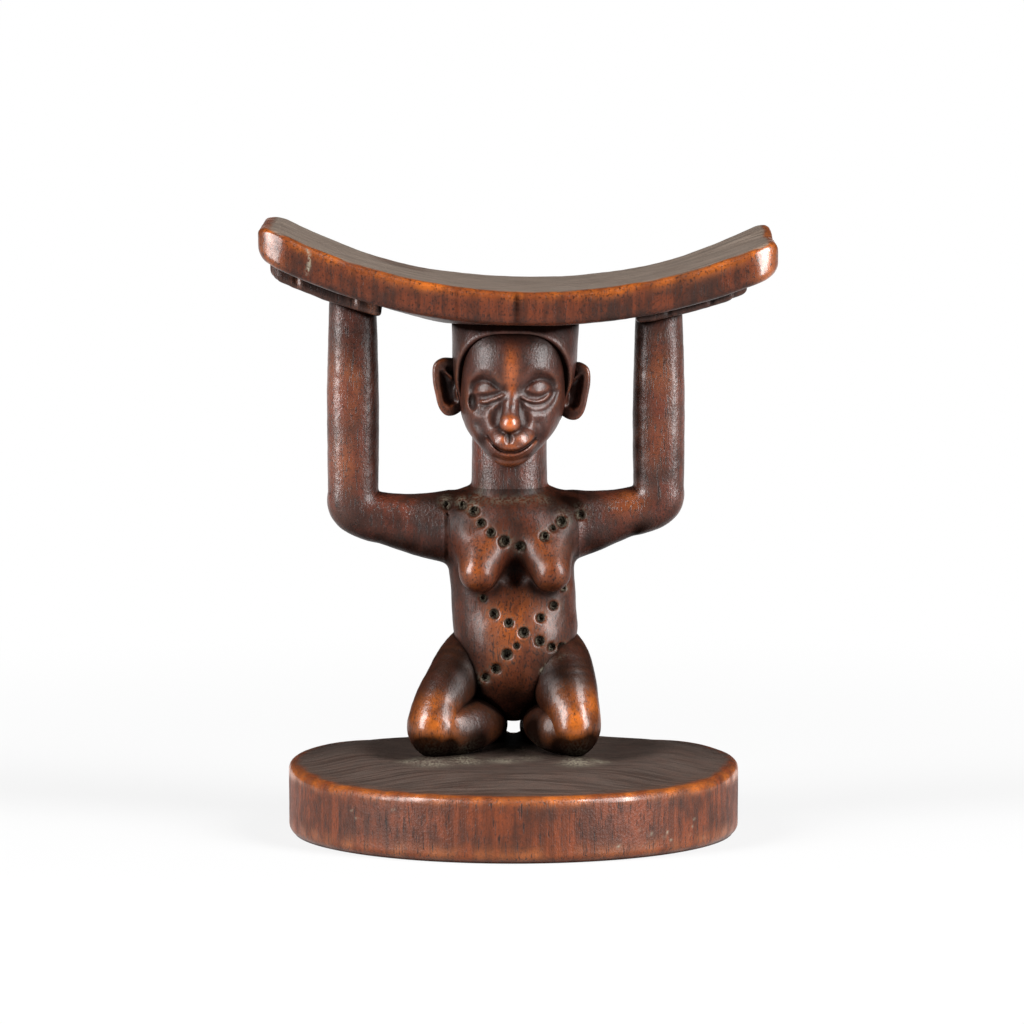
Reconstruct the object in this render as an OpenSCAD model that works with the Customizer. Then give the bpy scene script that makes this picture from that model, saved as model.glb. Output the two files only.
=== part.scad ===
// Carved wooden headrest: a kneeling figure on a round base holds up a curved pillow.
// Millimetres, +Z up, the figure faces -Y. The origin is the centre of the base's underside.
// The whole is carved from one block, so each module is one carved member, and members meet
// face to face with nothing between them. Left and right are the viewer's.

/* [Whole] */
// Height of the headrest, up to the tips of the pillow
headrest_h = 159.6; // [150:1:175]

/* [Base] */
// Diameter of the round base
base_d = 118.6; // [108:1:134]
// Height of the base at its rim
base_h = 17.5; // [12:0.5:24]
// Rounding of the rim, top and bottom
rim_r = 2.4; // [1:0.2:4]
// Rise of the land that the figure kneels on, above the rim
land_rise = 3.5; // [2:0.5:6]
// Diameter of that land
land_d = 76; // [74:1:90]

/* [Pillow] */
// Length of the pillow from tip to tip
pillow_l = 135; // [126:1:145]
// Width of the pillow, front to back
pillow_w = 60; // [48:1:70]
// Thickness of the pillow along its edges
pillow_t = 8.7; // [7:0.1:11]
// Extra thickness along the middle of the underside
pillow_crown = 1.2; // [0.4:0.1:2]
// Radius of the saddle that the head rests in
saddle_r = 149; // [135:1:190]
// How far the pillow's middle stands to the right of the base's
pillow_x = 1.2; // [-2:0.2:3]
// How far the saddle's lowest point stands to the right of the base's middle
saddle_x = 5.5; // [0:0.5:8]
// Rounding of the pillow's long edges
pillow_edge_r = 2.2; // [1:0.1:3.5]
// Rounding of the pillow's corners in plan
pillow_corner_r = 8; // [5:0.5:12]
// Rise of the pillow's back edge at its right end
back_rise = 1.6; // [0:0.1:2.4]

/* [Arms] */
// Distance between the inner sides of the two forearms
arm_gap = 66.8; // [60:1:74]
// Middle of the two forearms, from the base's middle
arms_x = -2; // [-3:0.2:2]
// Width of a forearm
forearm_w = 13.2; // [11:0.1:15]
// Depth of a forearm, front to back
forearm_depth = 13.2; // [11:0.1:15]
// Share of its width that a forearm has left at the wrist
wrist_taper = 0.92; // [0.85:0.01:1]
// Height of the inside of the left elbow, as a share of the way from the land to the pillow
elbow_left_share = 0.6; // [0.57:0.005:0.62]
// Height of the inside of the right elbow, as a share of the way from the land to the pillow
elbow_right_share = 0.612; // [0.57:0.005:0.63]
// Thickness of the upper arm just inside the elbow
upper_arm_t = 11.6; // [10:0.1:14]
// Height of an upper arm where it leaves the chest
arm_root_h = 17.8; // [16:0.2:19.4]

/* [Hands] */
// Length of a hand from wrist to fingertips, under the pillow
hand_l = 29; // [26:0.5:31]
// Width of a hand across its four fingers
hand_w = 17; // [15:0.5:20]
// Thickness of the left hand
hand_t_left = 4.6; // [3.6:0.1:5.2]
// Thickness of the right hand
hand_t_right = 3.4; // [2.8:0.1:4.6]
// Length of the fingers
finger_l = 13; // [9:0.5:15]

/* [Torso] */
// Half the width of the torso where the arms leave it
chest_hw = 16.7; // [15:0.1:18]
// Middle of the torso, from the base's middle
torso_x = -0.5; // [-2:0.1:2]
// Depth of the chest, front to back
chest_depth = 24; // [21:0.5:27]
// Height of the shoulders, as a share of the way from the land to the pillow
shoulder_share = 0.612; // [0.59:0.005:0.63]
// Height of the underside of the hips above the land
crotch_rise = 9; // [8:0.1:10]
// Length that a breast stands out from the chest
breast_l = 11; // [8:0.5:13]
// Distance between the tips of the breasts
breast_gap = 18.2; // [16:0.2:20]
// Radius of a breast at its tip
breast_r = 4.6; // [3.8:0.1:5.2]
// Height of the tips of the breasts below the shoulders
breast_drop = 21; // [18:0.5:23]

/* [Neck and head] */
// Width of the neck
neck_w = 19.9; // [17:0.1:22]
// Depth of the neck, front to back
neck_depth = 18.5; // [16:0.5:21]
// Slope of the jaw line over the neck, in degrees
jaw_slope = 26; // [20:1:30]
// Height of the tip of the chin over the shoulders
neck_l = 7.4; // [6:0.2:9]
// Width of the head at the temples
head_w = 30.4; // [28:0.2:33]
// Depth of the head, from brow to the back of the skull
head_depth = 32; // [29:0.5:35]
// Middle of the head, from the base's middle
head_x = -0.2; // [-2:0.1:2]
// Distance between the middles of the eyes
eye_gap = 12.8; // [12:0.1:14]
// Radius of an eye socket
socket_r = 5.1; // [4.4:0.1:5.4]
// Length of the nose
nose_l = 10.6; // [9:0.1:12]
// Width of the mouth
mouth_w = 13; // [10:0.2:15]
// Height of an ear
ear_h = 15; // [12:0.5:16]
// How far an ear stands out from the head
ear_out = 5.9; // [5:0.1:7]
// Thickness of the hair over the skull
hair_t = 1.3; // [0.8:0.1:2]

/* [Legs] */
// Radius of a knee
knee_r = 7.8; // [6.5:0.1:8.6]
// Middle of the left knee, out from the base's middle
knee_x_left = 19.8; // [16:0.2:21]
// Middle of the right knee, out from the base's middle
knee_x_right = 14.9; // [13:0.2:21]
// How far the middles of the knees stand in front of the base's middle
knee_y = 15.2; // [12:0.2:18]
// Radius of a thigh at the hip
hip_r = 9.2; // [8:0.1:10]
// Radius of a lower leg at the ankle
ankle_r = 4.3; // [3.6:0.1:4.8]
// Gap between the two ankles
ankle_gap = 3.6; // [3:0.2:6]
// Length of a foot
foot_l = 17; // [14:0.5:19]
// Width of a foot across the toes
foot_w = 9.4; // [8:0.2:11]

/* [Body marks] */
// Radius of a scarification pit
pit_r = 1.15; // [0.8:0.05:1.5]
// Number of pits in the garland across the chest
garland_count = 11; // [7:1:13]
// Number of pits along the shorter arm of the cross on the belly
cross_count = 7; // [5:2:9]

/* [Hidden] */

WOOD = "#6b3018";
POLISHED = "#8a4420";
SOOTED = "#33201a";
LEFT = -1;
RIGHT = 1;
BIG = 400;
land_z = base_h + land_rise;
pillow_mid_r = saddle_r + pillow_t;
end_dip = 1.2;
tip_x = max(saddle_x - pillow_x, pillow_x - saddle_x) + pillow_l / 2 - pillow_corner_r / 3;
saddle_z = headrest_h - saddle_r + sqrt(saddle_r * saddle_r - tip_x * tip_x) + end_dip;
figure_h = saddle_z - pillow_t - land_z;
shoulder_z = land_z + shoulder_share * figure_h;
elbow_z_left = land_z + elbow_left_share * figure_h;
elbow_z_right = land_z + elbow_right_share * figure_h;
chin_z = shoulder_z + neck_l;

// A closed skin over rings of equally many points. Each ring turns anticlockwise as seen from the
// ring before it.
function skin_faces(rings, sides) = concat(
    [[for (j = [sides - 1:-1:0]) j]],
    [for (i = [0:rings - 2], j = [0:sides - 1]) let (k = (j + 1) % sides, a = i * sides)
        each [[a + j, a + k, a + sides + j], [a + k, a + sides + k, a + sides + j]]],
    [[for (j = [0:sides - 1]) (rings - 1) * sides + j]]);
module skin(rings) {
    polyhedron([for (r = rings) each r], skin_faces(len(rings), len(rings[0])), convexity = 6);
}

// A ring of a swollen ellipse: power 2 is an ellipse, and more is squarer.
function bulge(t, power) = sign(t) * pow(abs(t), 2 / power);
function oval(sides, power) = [for (j = [0:sides - 1]) let (a = 360 * (j + 0.5) / sides)
    [bulge(cos(a), power), bulge(sin(a), power)]];

// A value along a list of stations [at, ...], eased so that the surface stays smooth.
function slope_at(list, i, k) = let (a = max(i - 1, 0), b = min(i + 1, len(list) - 1))
    (list[b][k] - list[a][k]) / (list[b][0] - list[a][0]);
function station_at(list, z, k, i = 0) =
    z > list[i + 1][0] && i < len(list) - 2 ? station_at(list, z, k, i + 1)
        : let (h = list[i + 1][0] - list[i][0], t = (z - list[i][0]) / h, s = 1 - t)
            (1 + 2 * t) * s * s * list[i][k] + t * s * s * h * slope_at(list, i, k)
            + t * t * (3 - 2 * t) * list[i + 1][k] - t * t * s * h * slope_at(list, i + 1, k);

// A body that stands along Z, skinned over stations [z, half width, front y, back y].
function stack_ring(list, z, mid_x, sides, power) = let (
    hw = station_at(list, z, 1), front = station_at(list, z, 2), back = station_at(list, z, 3))
    [for (p = oval(sides, power)) [mid_x + hw * p[0], (front + back) / 2 + (back - front) / 2 * p[1], z]];
module stack(list, mid_x, sides, power) {
    skin([for (i = [len(list) - 1:-0.5:0]) let (a = list[floor(i)][0], b = list[ceil(i)][0])
        stack_ring(list, (a + b) / 2, mid_x, sides, power)]);
}

// A limb with round ends, skinned along stations [x, y, z, radius]. Across is a direction that the limb
// never runs along.
ALONG_X = [1, 0, 0];
ALONG_Y = [0, 1, 0];
function unit(v) = v / norm(v);
function place(s) = [s[0], s[1], s[2]];
function along(a, b, t) = a + (b - a) * t;
function limb_ring(at, r, run, across, sides, power) = let (u = unit(cross(run, across)), v = cross(u, run))
    [for (p = oval(sides, power)) at + r * (p[0] * u + p[1] * v)];
function limb_run(s, i) = unit(place(s[min(i + 1, len(s) - 1)]) - place(s[max(i - 1, 0)]));
module limb(stations, across = ALONG_X, sides = 16, power = 2) {
    last = len(stations) - 1;
    first_run = limb_run(stations, 0);
    last_run = limb_run(stations, last);
    skin(concat(
        [for (a = [70, 36]) limb_ring(place(stations[0]) - first_run * stations[0][3] * sin(a),
            stations[0][3] * cos(a), first_run, across, sides, power)],
        [for (i = [0:last]) limb_ring(place(stations[i]), stations[i][3], limb_run(stations, i), across,
            sides, power)],
        [for (a = [36, 70]) limb_ring(place(stations[last]) + last_run * stations[last][3] * sin(a),
            stations[last][3] * cos(a), last_run, across, sides, power)]));
}
function bent(a, mid, b, steps) = [for (i = [0:steps]) let (t = i / steps)
    along(along(a, mid, t), along(mid, b, t), t)];

// Rounds and capsules that the face and the hands are built from.
module egg(at, radii, turn = [0, 0, 0], fn = 14) {
    hull() translate(at) rotate(turn) scale(radii) sphere(1, $fn = fn);
}
module capsule(a, b, r, fn = 10) {
    hull() {
        translate(a) sphere(r, $fn = fn);
        translate(b) sphere(r, $fn = fn);
    }
}
module above(z) {
    translate([-BIG / 2, -BIG / 2, z]) cube([BIG, BIG, BIG]);
}
module below(z) {
    translate([-BIG / 2, -BIG / 2, z - BIG]) cube([BIG, BIG, BIG]);
}

// The base is a disc with rounded rims. Its top climbs in a soft curve to a flat land.
rim_steps = 5;
slope_steps = 8;
function quarter(mid, r, from) = [for (i = [0:rim_steps]) let (a = from + 90 * i / rim_steps)
    [mid[0] + r * cos(a), mid[1] + r * sin(a)]];
function slope_points() = let (out = base_d / 2 - rim_r, run = out - land_d / 2)
    [for (i = [1:slope_steps]) let (t = i / slope_steps)
        [out - run * t, base_h + land_rise * (1 - cos(180 * t)) / 2]];
module base_disc() {
    rotate_extrude($fn = 120)
        polygon(concat([[0, 0]], quarter([base_d / 2 - rim_r, rim_r], rim_r, -90),
            quarter([base_d / 2 - rim_r, base_h - rim_r], rim_r, 0), slope_points(), [[0, land_z]]));
}

// The pillow is a slab bent along an arc, and its ends are cut upright. Its section is a flat top over a
// crowned underside, and it draws in at each end for the rounded corners.
pillow_sides = 28;
pillow_steps = 14;
end_steps = 5;
function arc_point(x, r, y) = [x, y, saddle_z + saddle_r - sqrt(r * r - pow(x - saddle_x, 2))];
function underside_z(x, depth = 0) =
    saddle_z + saddle_r - sqrt(pow(pillow_mid_r + depth, 2) - pow(x - saddle_x, 2));
function section(hw, t, crown, edge) = [for (p = oval(pillow_sides, 2)) let (
    c = bulge(p[0], 2 + 2 * hw / edge / 3), s = bulge(p[1], 2 + t / edge))
    [hw * c, t / 2 + t / 2 * s + (s > 0 ? crown * (1 - c * c) * s : 0)]];
function twist(x, y) = let (share = (x - saddle_x) / (pillow_x + pillow_l / 2 - saddle_x))
    back_rise * pow(max(0, share), 1.5) * max(0, 2 * y / pillow_w);
function pillow_ring(x, draw) = let (inset = pillow_corner_r * (1 - sqrt(1 - draw * draw)),
    thin = 1 - 0.4 * pow(draw, 4))
    [for (p = section(pillow_w / 2 - inset, pillow_t * thin, pillow_crown * (1 - draw), pillow_edge_r))
        arc_point(x, saddle_r + pillow_t * (1 - thin) / 2 + p[1], p[0]) + [0, 0, twist(x, p[0])]];
module pillow_slab() {
    left = pillow_x - pillow_l / 2;
    right = pillow_x + pillow_l / 2;
    draws = [for (i = [0:end_steps - 1]) 0.97 * sin(90 * (1 - i / end_steps))];
    skin(concat(
        [for (d = draws) pillow_ring(left + pillow_corner_r * (1 - d), d)],
        [for (i = [0:pillow_steps])
            pillow_ring(along(left + pillow_corner_r, right - pillow_corner_r, i / pillow_steps), 0)],
        [for (i = [end_steps - 1:-1:0]) pillow_ring(right - pillow_corner_r * (1 - draws[i]), draws[i])]));
}

// The torso is skinned over level outlines, with flat seats at its sides for the arms.
torso_sides = 24;
neck_y = 1;
hip_z = land_z + crotch_rise;
waist_z = (hip_z + shoulder_z) / 2 - 1;
// Each outline: its share of the way from hip to shoulder, its half width as a share of the chest's,
// and its front and back as shares of the chest's depth.
torso_shares = [
    [0, 0.36, -0.13, 0.38],
    [0.065, 0.66, -0.37, 0.58],
    [0.16, 0.9, -0.53, 0.68],
    [0.28, 0.97, -0.58, 0.62],
    [0.48, 0.98, -0.54, 0.52],
    [0.63, 1, -0.49, 0.51],
    [0.8, 1.06, -0.48, 0.53],
    [0.92, 1.07, -0.42, 0.52],
    [0.975, 1.02, -0.39, 0.49]];
torso_outline = concat([for (s = torso_shares)
    [along(hip_z, shoulder_z, s[0]), s[1] * chest_hw, s[2] * chest_depth, s[3] * chest_depth]],
    [[shoulder_z, neck_w / 2 + 1.2, neck_y - neck_depth / 2 - 0.4, neck_y + neck_depth / 2 + 0.6]]);
breast_root = [0.46 * chest_hw, -0.22 * chest_depth, shoulder_z - breast_drop / 2, 1.72 * breast_r];
breast_tip = [breast_gap / 2 - 0.2, breast_root[1] - breast_l, shoulder_z - breast_drop, breast_r];
function breast_at(side, i) = let (s = along(breast_root, breast_tip, i / 3))
    [torso_x + side * s[0], s[1] - 0.1 * breast_l * sin(60 * i), s[2], s[3]];
module breast(side) {
    limb([for (i = [0:3]) breast_at(side, i)], sides = 14);
}
module buttock(side) {
    r = 0.44 * chest_hw;
    limb([for (i = [0:2]) [torso_x + side * (r + 0.2), 0.48 * chest_depth - 0.24 * i * r,
        hip_z + r * (0.84 + 0.46 * i), r * (1 - 0.08 * i)]], sides = 14);
}
module torso_core() {
    intersection() {
        union() {
            stack(torso_outline, torso_x, torso_sides, 2.7);
            for (side = [LEFT, RIGHT])
                buttock(side);
        }
        translate([torso_x - chest_hw, -BIG / 2, land_z + 2]) cube([2 * chest_hw, BIG, BIG]);
    }
}

// Scarification pits: a garland from shoulder to shoulder, and a slanting cross on the belly.
garland_ends = [[-17.1, -4], [2.2, -14.6], [18.1, -6.6]];
cross_mid = [3.4, waist_z - 6];
cross_long = [[10.3, 10.7], [-9.8, -12.6], -0.8];
cross_short = [[-10.8, 8.7], [9.7, -4.7], -1.9];
function skin_y(x, z) = let (hw = station_at(torso_outline, z, 1), front = station_at(torso_outline, z, 2),
    back = station_at(torso_outline, z, 3), s = min(0.96, abs(x) / hw))
    (front + back) / 2 - (back - front) / 2 * pow(1 - pow(s, 2.7), 1 / 2.7);
function ball_front(s, x, z) = let (q = s[3] * s[3] - pow(torso_x + x - s[0], 2) - pow(z - s[2], 2))
    q > 0 ? s[1] - sqrt(q) : BIG;
function front_y(x, z) = abs(x) > chest_hw - 0.5 ? 0.4 - forearm_depth / 2 : min(skin_y(x, z),
    min([for (side = [LEFT, RIGHT], i = [0:0.5:3]) ball_front(breast_at(side, i), x, z)]));
function ease(t) = t * t * (3 - 2 * t);
function garland_at(t) = let (low = garland_ends[1], end = t < 0 ? garland_ends[0] : garland_ends[2])
    [along(low[0], end[0], abs(t)), shoulder_z + along(low[1], end[1], ease(abs(t)))];
function cross_at(arm, t) = cross_mid + along(arm[0], arm[1], t) + [0, arm[2] * sin(180 * t)];
pit_places = concat(
    [for (i = [0:garland_count - 1]) garland_at(2 * i / (garland_count - 1) - 1)],
    [for (i = [0:cross_count]) cross_at(cross_long, i / cross_count)],
    [for (i = [0:cross_count - 1]) if (i != (cross_count - 1) / 2) cross_at(cross_short, i / (cross_count - 1))]);
module pits() {
    for (p = pit_places)
        egg([torso_x + p[0], front_y(p[0], p[1]), p[1]], [pit_r, 1.3 * pit_r, 1.15 * pit_r], fn = 8);
}
module torso_solid() {
    difference() {
        union() {
            torso_core();
            for (side = [LEFT, RIGHT])
                breast(side);
        }
        pits();
    }
}

// The neck is a plain column. Its top is cut along the jaw line.
neck_x = torso_x - 0.6;
neck_sides = 32;
jaw_z = chin_z + 4.4;
function jaw_at(y) = jaw_z + (y - neck_y + neck_depth / 2) * tan(jaw_slope);
module neck_column() {
    ring = [for (p = oval(neck_sides, 2.2)) [neck_x + neck_w / 2 * p[0], neck_y + neck_depth / 2 * p[1]]];
    skin([[for (p = ring) [p[0], p[1], jaw_at(p[1])]], [for (p = ring) [p[0], p[1], shoulder_z]]]);
}
module over_jaw() {
    translate([0, neck_y - neck_depth / 2, jaw_z]) rotate([jaw_slope, 0, 0]) above(0);
}

// The head is skinned over level outlines. Heights on it are shares of the way from chin to crown.
head_sides = 26;
brow_y = -2.5 - head_depth / 2;
skull_back = brow_y + head_depth;
crown_z = underside_z(head_x) + 1.6;
function face_z(share) = along(chin_z, crown_z, share);
eye_z = face_z(0.434);
nose_z = face_z(0.228);
mouth_z = face_z(0.132);
head_outline = [
    [chin_z, 1.8, brow_y - 0.6, brow_y + 5],
    [face_z(0.035), 4.3, brow_y - 1.7, brow_y + 11],
    [face_z(0.1), 7.2, brow_y - 1.9, brow_y + 19],
    [face_z(0.19), head_w / 2 - 5.2, brow_y - 1.1, brow_y + 25.5],
    [face_z(0.29), head_w / 2 - 2.9, brow_y, brow_y + 29],
    [face_z(0.43), head_w / 2 - 1.3, brow_y + 0.5, skull_back],
    [face_z(0.58), head_w / 2, brow_y - 0.4, skull_back],
    [face_z(0.72), head_w / 2, brow_y - 0.4, skull_back],
    [face_z(0.86), head_w / 2 - 0.2, brow_y + 1.8, skull_back - 1],
    [crown_z, head_w / 2 - 0.9, brow_y + 4.5, skull_back - 2.4]];
module skull() {
    stack(head_outline, head_x, head_sides, 2.25);
}

// The hairline is a slanting cut from the top of the forehead, past the ears, to the nape.
hairline_z = face_z(0.835);
hairline_y = brow_y + 1;
hairline_slope = 50;
module at_hairline() {
    translate([0, hairline_y, hairline_z]) rotate([-hairline_slope, 0, 0]) children();
}

// The face: closed eyes in round sockets under raised brows, a small nose and a smiling mouth.
smile_turn = 62;
module arc_bead(mid, radii, y, from, to, r, bow = 0, steps = 6) {
    limb([for (i = [0:steps]) let (a = along(from, to, i / steps))
        [mid[0] + radii[0] * cos(a), y + bow * pow(cos(a), 2), mid[1] + radii[1] * sin(a),
            r * (1 - 0.45 * pow(2 * i / steps - 1, 4))]], ALONG_Y, 8);
}
module eyeball(x, grow) {
    egg([x, brow_y + 1, eye_z + 0.3], [socket_r - 1 + grow, 2.4 + grow, socket_r - 1.5 + grow]);
}
module face_adds() {
    for (side = [LEFT, RIGHT]) {
        x = head_x + side * eye_gap / 2;
        eyeball(x, 0);
        arc_bead([x, eye_z - 0.6], [socket_r + 0.3, socket_r + 1.4], brow_y + 0.5, 90 + side * 72, 90 - side * 78,
            1.05, 1.1);
        egg([head_x + side * 2.3, brow_y - 1.9, nose_z - 0.6], [1.5, 1.7, 1.7], fn = 10);
    }
    hull() {
        egg([head_x, brow_y - 0.7, nose_z + nose_l - 2], [1.3, 1.3, 1.6], fn = 8);
        egg([head_x, brow_y - 3.2, nose_z], [2.3, 2.3, 2.4], fn = 12);
    }
    egg([head_x, brow_y + 0.6, mouth_z + 1.4], [mouth_w / 2 + 0.8, 4.4, 3.6], fn = 18);
    smile_r = 0.42 * mouth_w;
    arc_bead([head_x, mouth_z + smile_r], [mouth_w / 2 + 0.4, smile_r], brow_y - 3.4, 270 - smile_turn,
        270 + smile_turn, 0.85, 2.2);
    arc_bead([head_x, mouth_z + smile_r - 1.7], [mouth_w / 2 - 0.6, smile_r], brow_y - 3, 274 - smile_turn,
        266 + smile_turn, 0.95, 2.4);
}
module face_cuts() {
    for (side = [LEFT, RIGHT]) {
        x = head_x + side * eye_gap / 2;
        difference() {
            egg([x, brow_y - 0.6, eye_z - 0.5], [socket_r, 2.4, socket_r + 0.2], fn = 20);
            eyeball(x, -0.3);
        }
    }
}
module eye_slits() {
    for (side = [LEFT, RIGHT]) {
        x = head_x + side * eye_gap / 2;
        capsule([x - side * 3, brow_y - 1.2, eye_z - 1], [x + side * 3, brow_y - 0.9, eye_z - 1.9], 0.5, 6);
    }
}
module head_solid() {
    difference() {
        intersection() {
            union() {
                difference() {
                    intersection() {
                        skull();
                        at_hairline() below(0);
                    }
                    face_cuts();
                }
                face_adds();
            }
            over_jaw();
        }
        eye_slits();
        pillow_slab();
    }
}

// The hair is a close cap behind the hairline. It stands a little proud of the face.
hair_outline = [for (s = head_outline) [s[0], s[1] + hair_t, s[2] - hair_t, s[3] + hair_t]];
module coiffure_solid() {
    difference() {
        intersection() {
            stack(hair_outline, head_x, head_sides, 2.3);
            at_hairline() above(0);
            over_jaw();
        }
        pillow_slab();
    }
}

// An ear is a shallow cup with a rolled rim, turned to the front.
ear_z = face_z(0.492);
ear_y = -3;
ear_turn = 24;
module ear_solid(side) {
    difference() {
        translate([head_x + side * (head_w / 2 - 0.6), ear_y, ear_z]) rotate([0, side * 5, -side * ear_turn]) union() {
            egg([side * ear_out * 0.4, 1.8, 0], [ear_out * 0.66, 1.1, ear_h * 0.43], fn = 16);
            limb([for (i = [0:8]) let (a = -125 + 250 * i / 8)
                [side * (ear_out * 0.36 + ear_out * 0.44 * cos(a)), 0.9 - 0.4 * cos(a),
                    (ear_h / 2 - 1.4) * sin(a), 1.4]], ALONG_Y, 8);
        }
        intersection() {
            skull();
            at_hairline() below(0);
        }
        intersection() {
            stack(hair_outline, head_x, head_sides, 2.3);
            at_hairline() above(0);
        }
    }
}

// Each arm is skinned over rings that turn about the inside of the elbow. A ring runs from a point
// on the arm's inner line to one on its outer line. The two members part at half the turn.
arm_sides = 22;
function elbow_z(side) = side < 0 ? elbow_z_left : elbow_z_right;
function inner_x(side) = arms_x + side * arm_gap / 2;
function arm_ring(inner, outer, depth) = [for (p = oval(arm_sides, 2.5))
    [along(inner[0], outer[0], (1 - p[0]) / 2), depth / 2 * p[1], along(inner[1], outer[1], (1 - p[0]) / 2)]];
function elbow_ring(side, turn) = let (corner = [inner_x(side), elbow_z(side)],
    reach = along(upper_arm_t, forearm_w, turn / 90) + 0.6 * sin(2 * turn) - 0.9 * sin(4 * turn))
    arm_ring(corner, [corner[0] + side * reach * sin(turn), corner[1] - reach * cos(turn)], forearm_depth);
function root_ring(side, t) = let (
    x = along(torso_x + side * chest_hw, inner_x(side) - side * 2, t),
    top = along(shoulder_z - 1, elbow_z(side), t) - 1.3 * sin(180 * t) * (1 - t),
    height = along(arm_root_h, upper_arm_t + 0.2, pow(t, 0.8)))
    arm_ring([x, top], [x, top - height], forearm_depth);
function hand_t(side) = side < 0 ? hand_t_left : hand_t_right;
function wrist_at(side) = underside_z(inner_x(side) + side * forearm_w / 2, hand_t(side)) - 0.6;
function forearm_ring(side, t) = let (z = along(elbow_z(side) + 1, wrist_at(side), t),
    slim = (1 - wrist_taper) * t * t, mid = inner_x(side) + side * forearm_w / 2,
    hw = forearm_w / 2 * (1 - slim) + 0.25 * sin(180 * t))
    arm_ring([mid - side * hw, z], [mid + side * hw, z], forearm_depth * (1 - slim));
module arm_skin(side, rings) {
    skin(side > 0 ? rings : [for (i = [len(rings) - 1:-1:0]) rings[i]]);
}
module upper_arm_solid(side) {
    difference() {
        arm_skin(side, concat([for (t = [0:0.2:1]) root_ring(side, t)],
            [for (turn = [15, 30, 45]) elbow_ring(side, turn)]));
        pits();
    }
}
module forearm_solid(side) {
    arm_skin(side, concat([for (turn = [45, 60, 75]) elbow_ring(side, turn)],
        [for (t = [0:0.125:1]) forearm_ring(side, t)]));
}

// A hand lies flat under the pillow, with its fingers pointing outwards and its heel at the wrist.
finger_count = 4;
hand_y = -1.5;
module hand_solid(side) {
    heel = inner_x(side) - side * (side < 0 ? 1 : -0.4);
    knuckle = heel + side * (hand_l - finger_l);
    mid = inner_x(side) + side * forearm_w / 2;
    finger_r = hand_w / finger_count / 2 - 0.05;
    t_hand = hand_t(side);
    difference() {
        union() {
            for (i = [0:finger_count - 1]) let (y = hand_y + hand_w * ((i + 0.5) / finger_count - 0.5),
                from = knuckle - side * 2, to = heel + side * (hand_l - [2.4, 0.6, 0, 1.8][i] - finger_r))
                limb([for (t = [0:0.5:1]) let (x = along(from, to, t))
                    [x, y, underside_z(x, t_hand) + finger_r, finger_r]], ALONG_Y, 10);
            hull() {
                for (y = [-1, 1], x = [heel + side * 2, knuckle])
                    translate([x, hand_y + y * (hand_w / 2 - 2), underside_z(x, t_hand) + 2]) sphere(2, $fn = 12);
                translate([mid, 0, wrist_at(side)])
                    scale([forearm_w * wrist_taper / 2, forearm_depth * wrist_taper / 2, 1])
                        cylinder(h = 1, r = 1, $fn = 24);
            }
            limb([for (t = [0:0.5:1]) let (x = heel + side * (2 + 9 * t))
                [x, hand_y - hand_w / 2 - 0.8, underside_z(x, t_hand) + 2, 1.8 - 0.3 * t]], ALONG_Y, 10);
        }
        pillow_slab();
        below(wrist_at(side));
    }
}

// A thigh runs down and forward from the hip to the knee, which stands on the land.
function knee_at(side) = [side * (side < 0 ? knee_x_left : knee_x_right), -knee_y, land_z + knee_r + 0.3, knee_r];
function hip_at(side) = [torso_x + side * 0.48 * chest_hw + (side > 0 ? 1 : 0), chest_depth / 8,
    hip_z + 1.63 * hip_r, hip_r];
module thigh_form(side) {
    knee = knee_at(side);
    hip = hip_at(side);
    limb(bent(hip, (hip + knee) / 2 + knee_r * [side * 0.28, -0.3, 0.15, 0.06], knee, 8), sides = 18, power = 2.2);
    translate([knee[0], knee[1] + 1, land_z]) cylinder(h = 0.38 * knee_r, r1 = knee_r - 2.6, r2 = knee_r - 1, $fn = 24);
}
module thigh_solid(side) {
    difference() {
        thigh_form(side);
        torso_core();
        below(land_z);
    }
}

// A lower leg lies on the land. It runs back and inwards from the knee to the ankle.
function ankle_at(side) = [side * (ankle_gap / 2 + ankle_r), 0.71 * chest_depth, land_z + ankle_r - 0.4, ankle_r];
module lower_leg_form(side) {
    knee = knee_at(side);
    start = knee + knee_r * [-side * 0.31, 0.44, -0.3, -0.17];
    ankle = ankle_at(side);
    mid = (start + ankle) / 2 + knee_r * [side * 0.19, 0, 0.26, 0.21];
    limb(bent(start, mid, ankle, 8), sides = 16, power = 2.3);
}
module lower_leg_solid(side) {
    difference() {
        lower_leg_form(side);
        thigh_form(side);
        torso_core();
        below(land_z);
        translate([side < 0 ? -ankle_gap / 2 : ankle_gap / 2 - BIG, -BIG / 2, 0]) cube(BIG);
    }
}

// A foot lies with its sole up behind the seat, and its toes rest on the land.
toe_count = 5;
module foot_solid(side) {
    ankle = ankle_at(side);
    toe_y = ankle[1] + foot_l;
    mid = side * (ankle_gap / 2 + foot_w / 2 + 0.4);
    difference() {
        union() {
            for (i = [0:toe_count - 1]) let (x = mid - side * foot_w * ((i + 0.5) / toe_count - 0.5),
                r = foot_w / toe_count * (i == toe_count - 1 ? 0.68 : 0.54))
                capsule([x, toe_y - 6, land_z + r + 0.6], [x, toe_y - r - (toe_count - 1 - i) * 0.6, land_z + r - 0.2],
                    r, 8);
            limb([ankle + [0, 1, -0.2, -0.9], [along(ankle[0], mid, 0.5), ankle[1] + 5, land_z + 3.4, 3.8],
                [mid, toe_y - 6.5, land_z + 2.3, 3.2]], sides = 14);
            hull()
                for (s = [-1, 1], back = [4.5, 8])
                    translate([mid + s * (foot_w / 2 - 1.9), toe_y - back, land_z + 1.5]) sphere(1.9, $fn = 10);
        }
        lower_leg_form(side);
        torso_core();
        below(land_z);
    }
}

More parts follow.
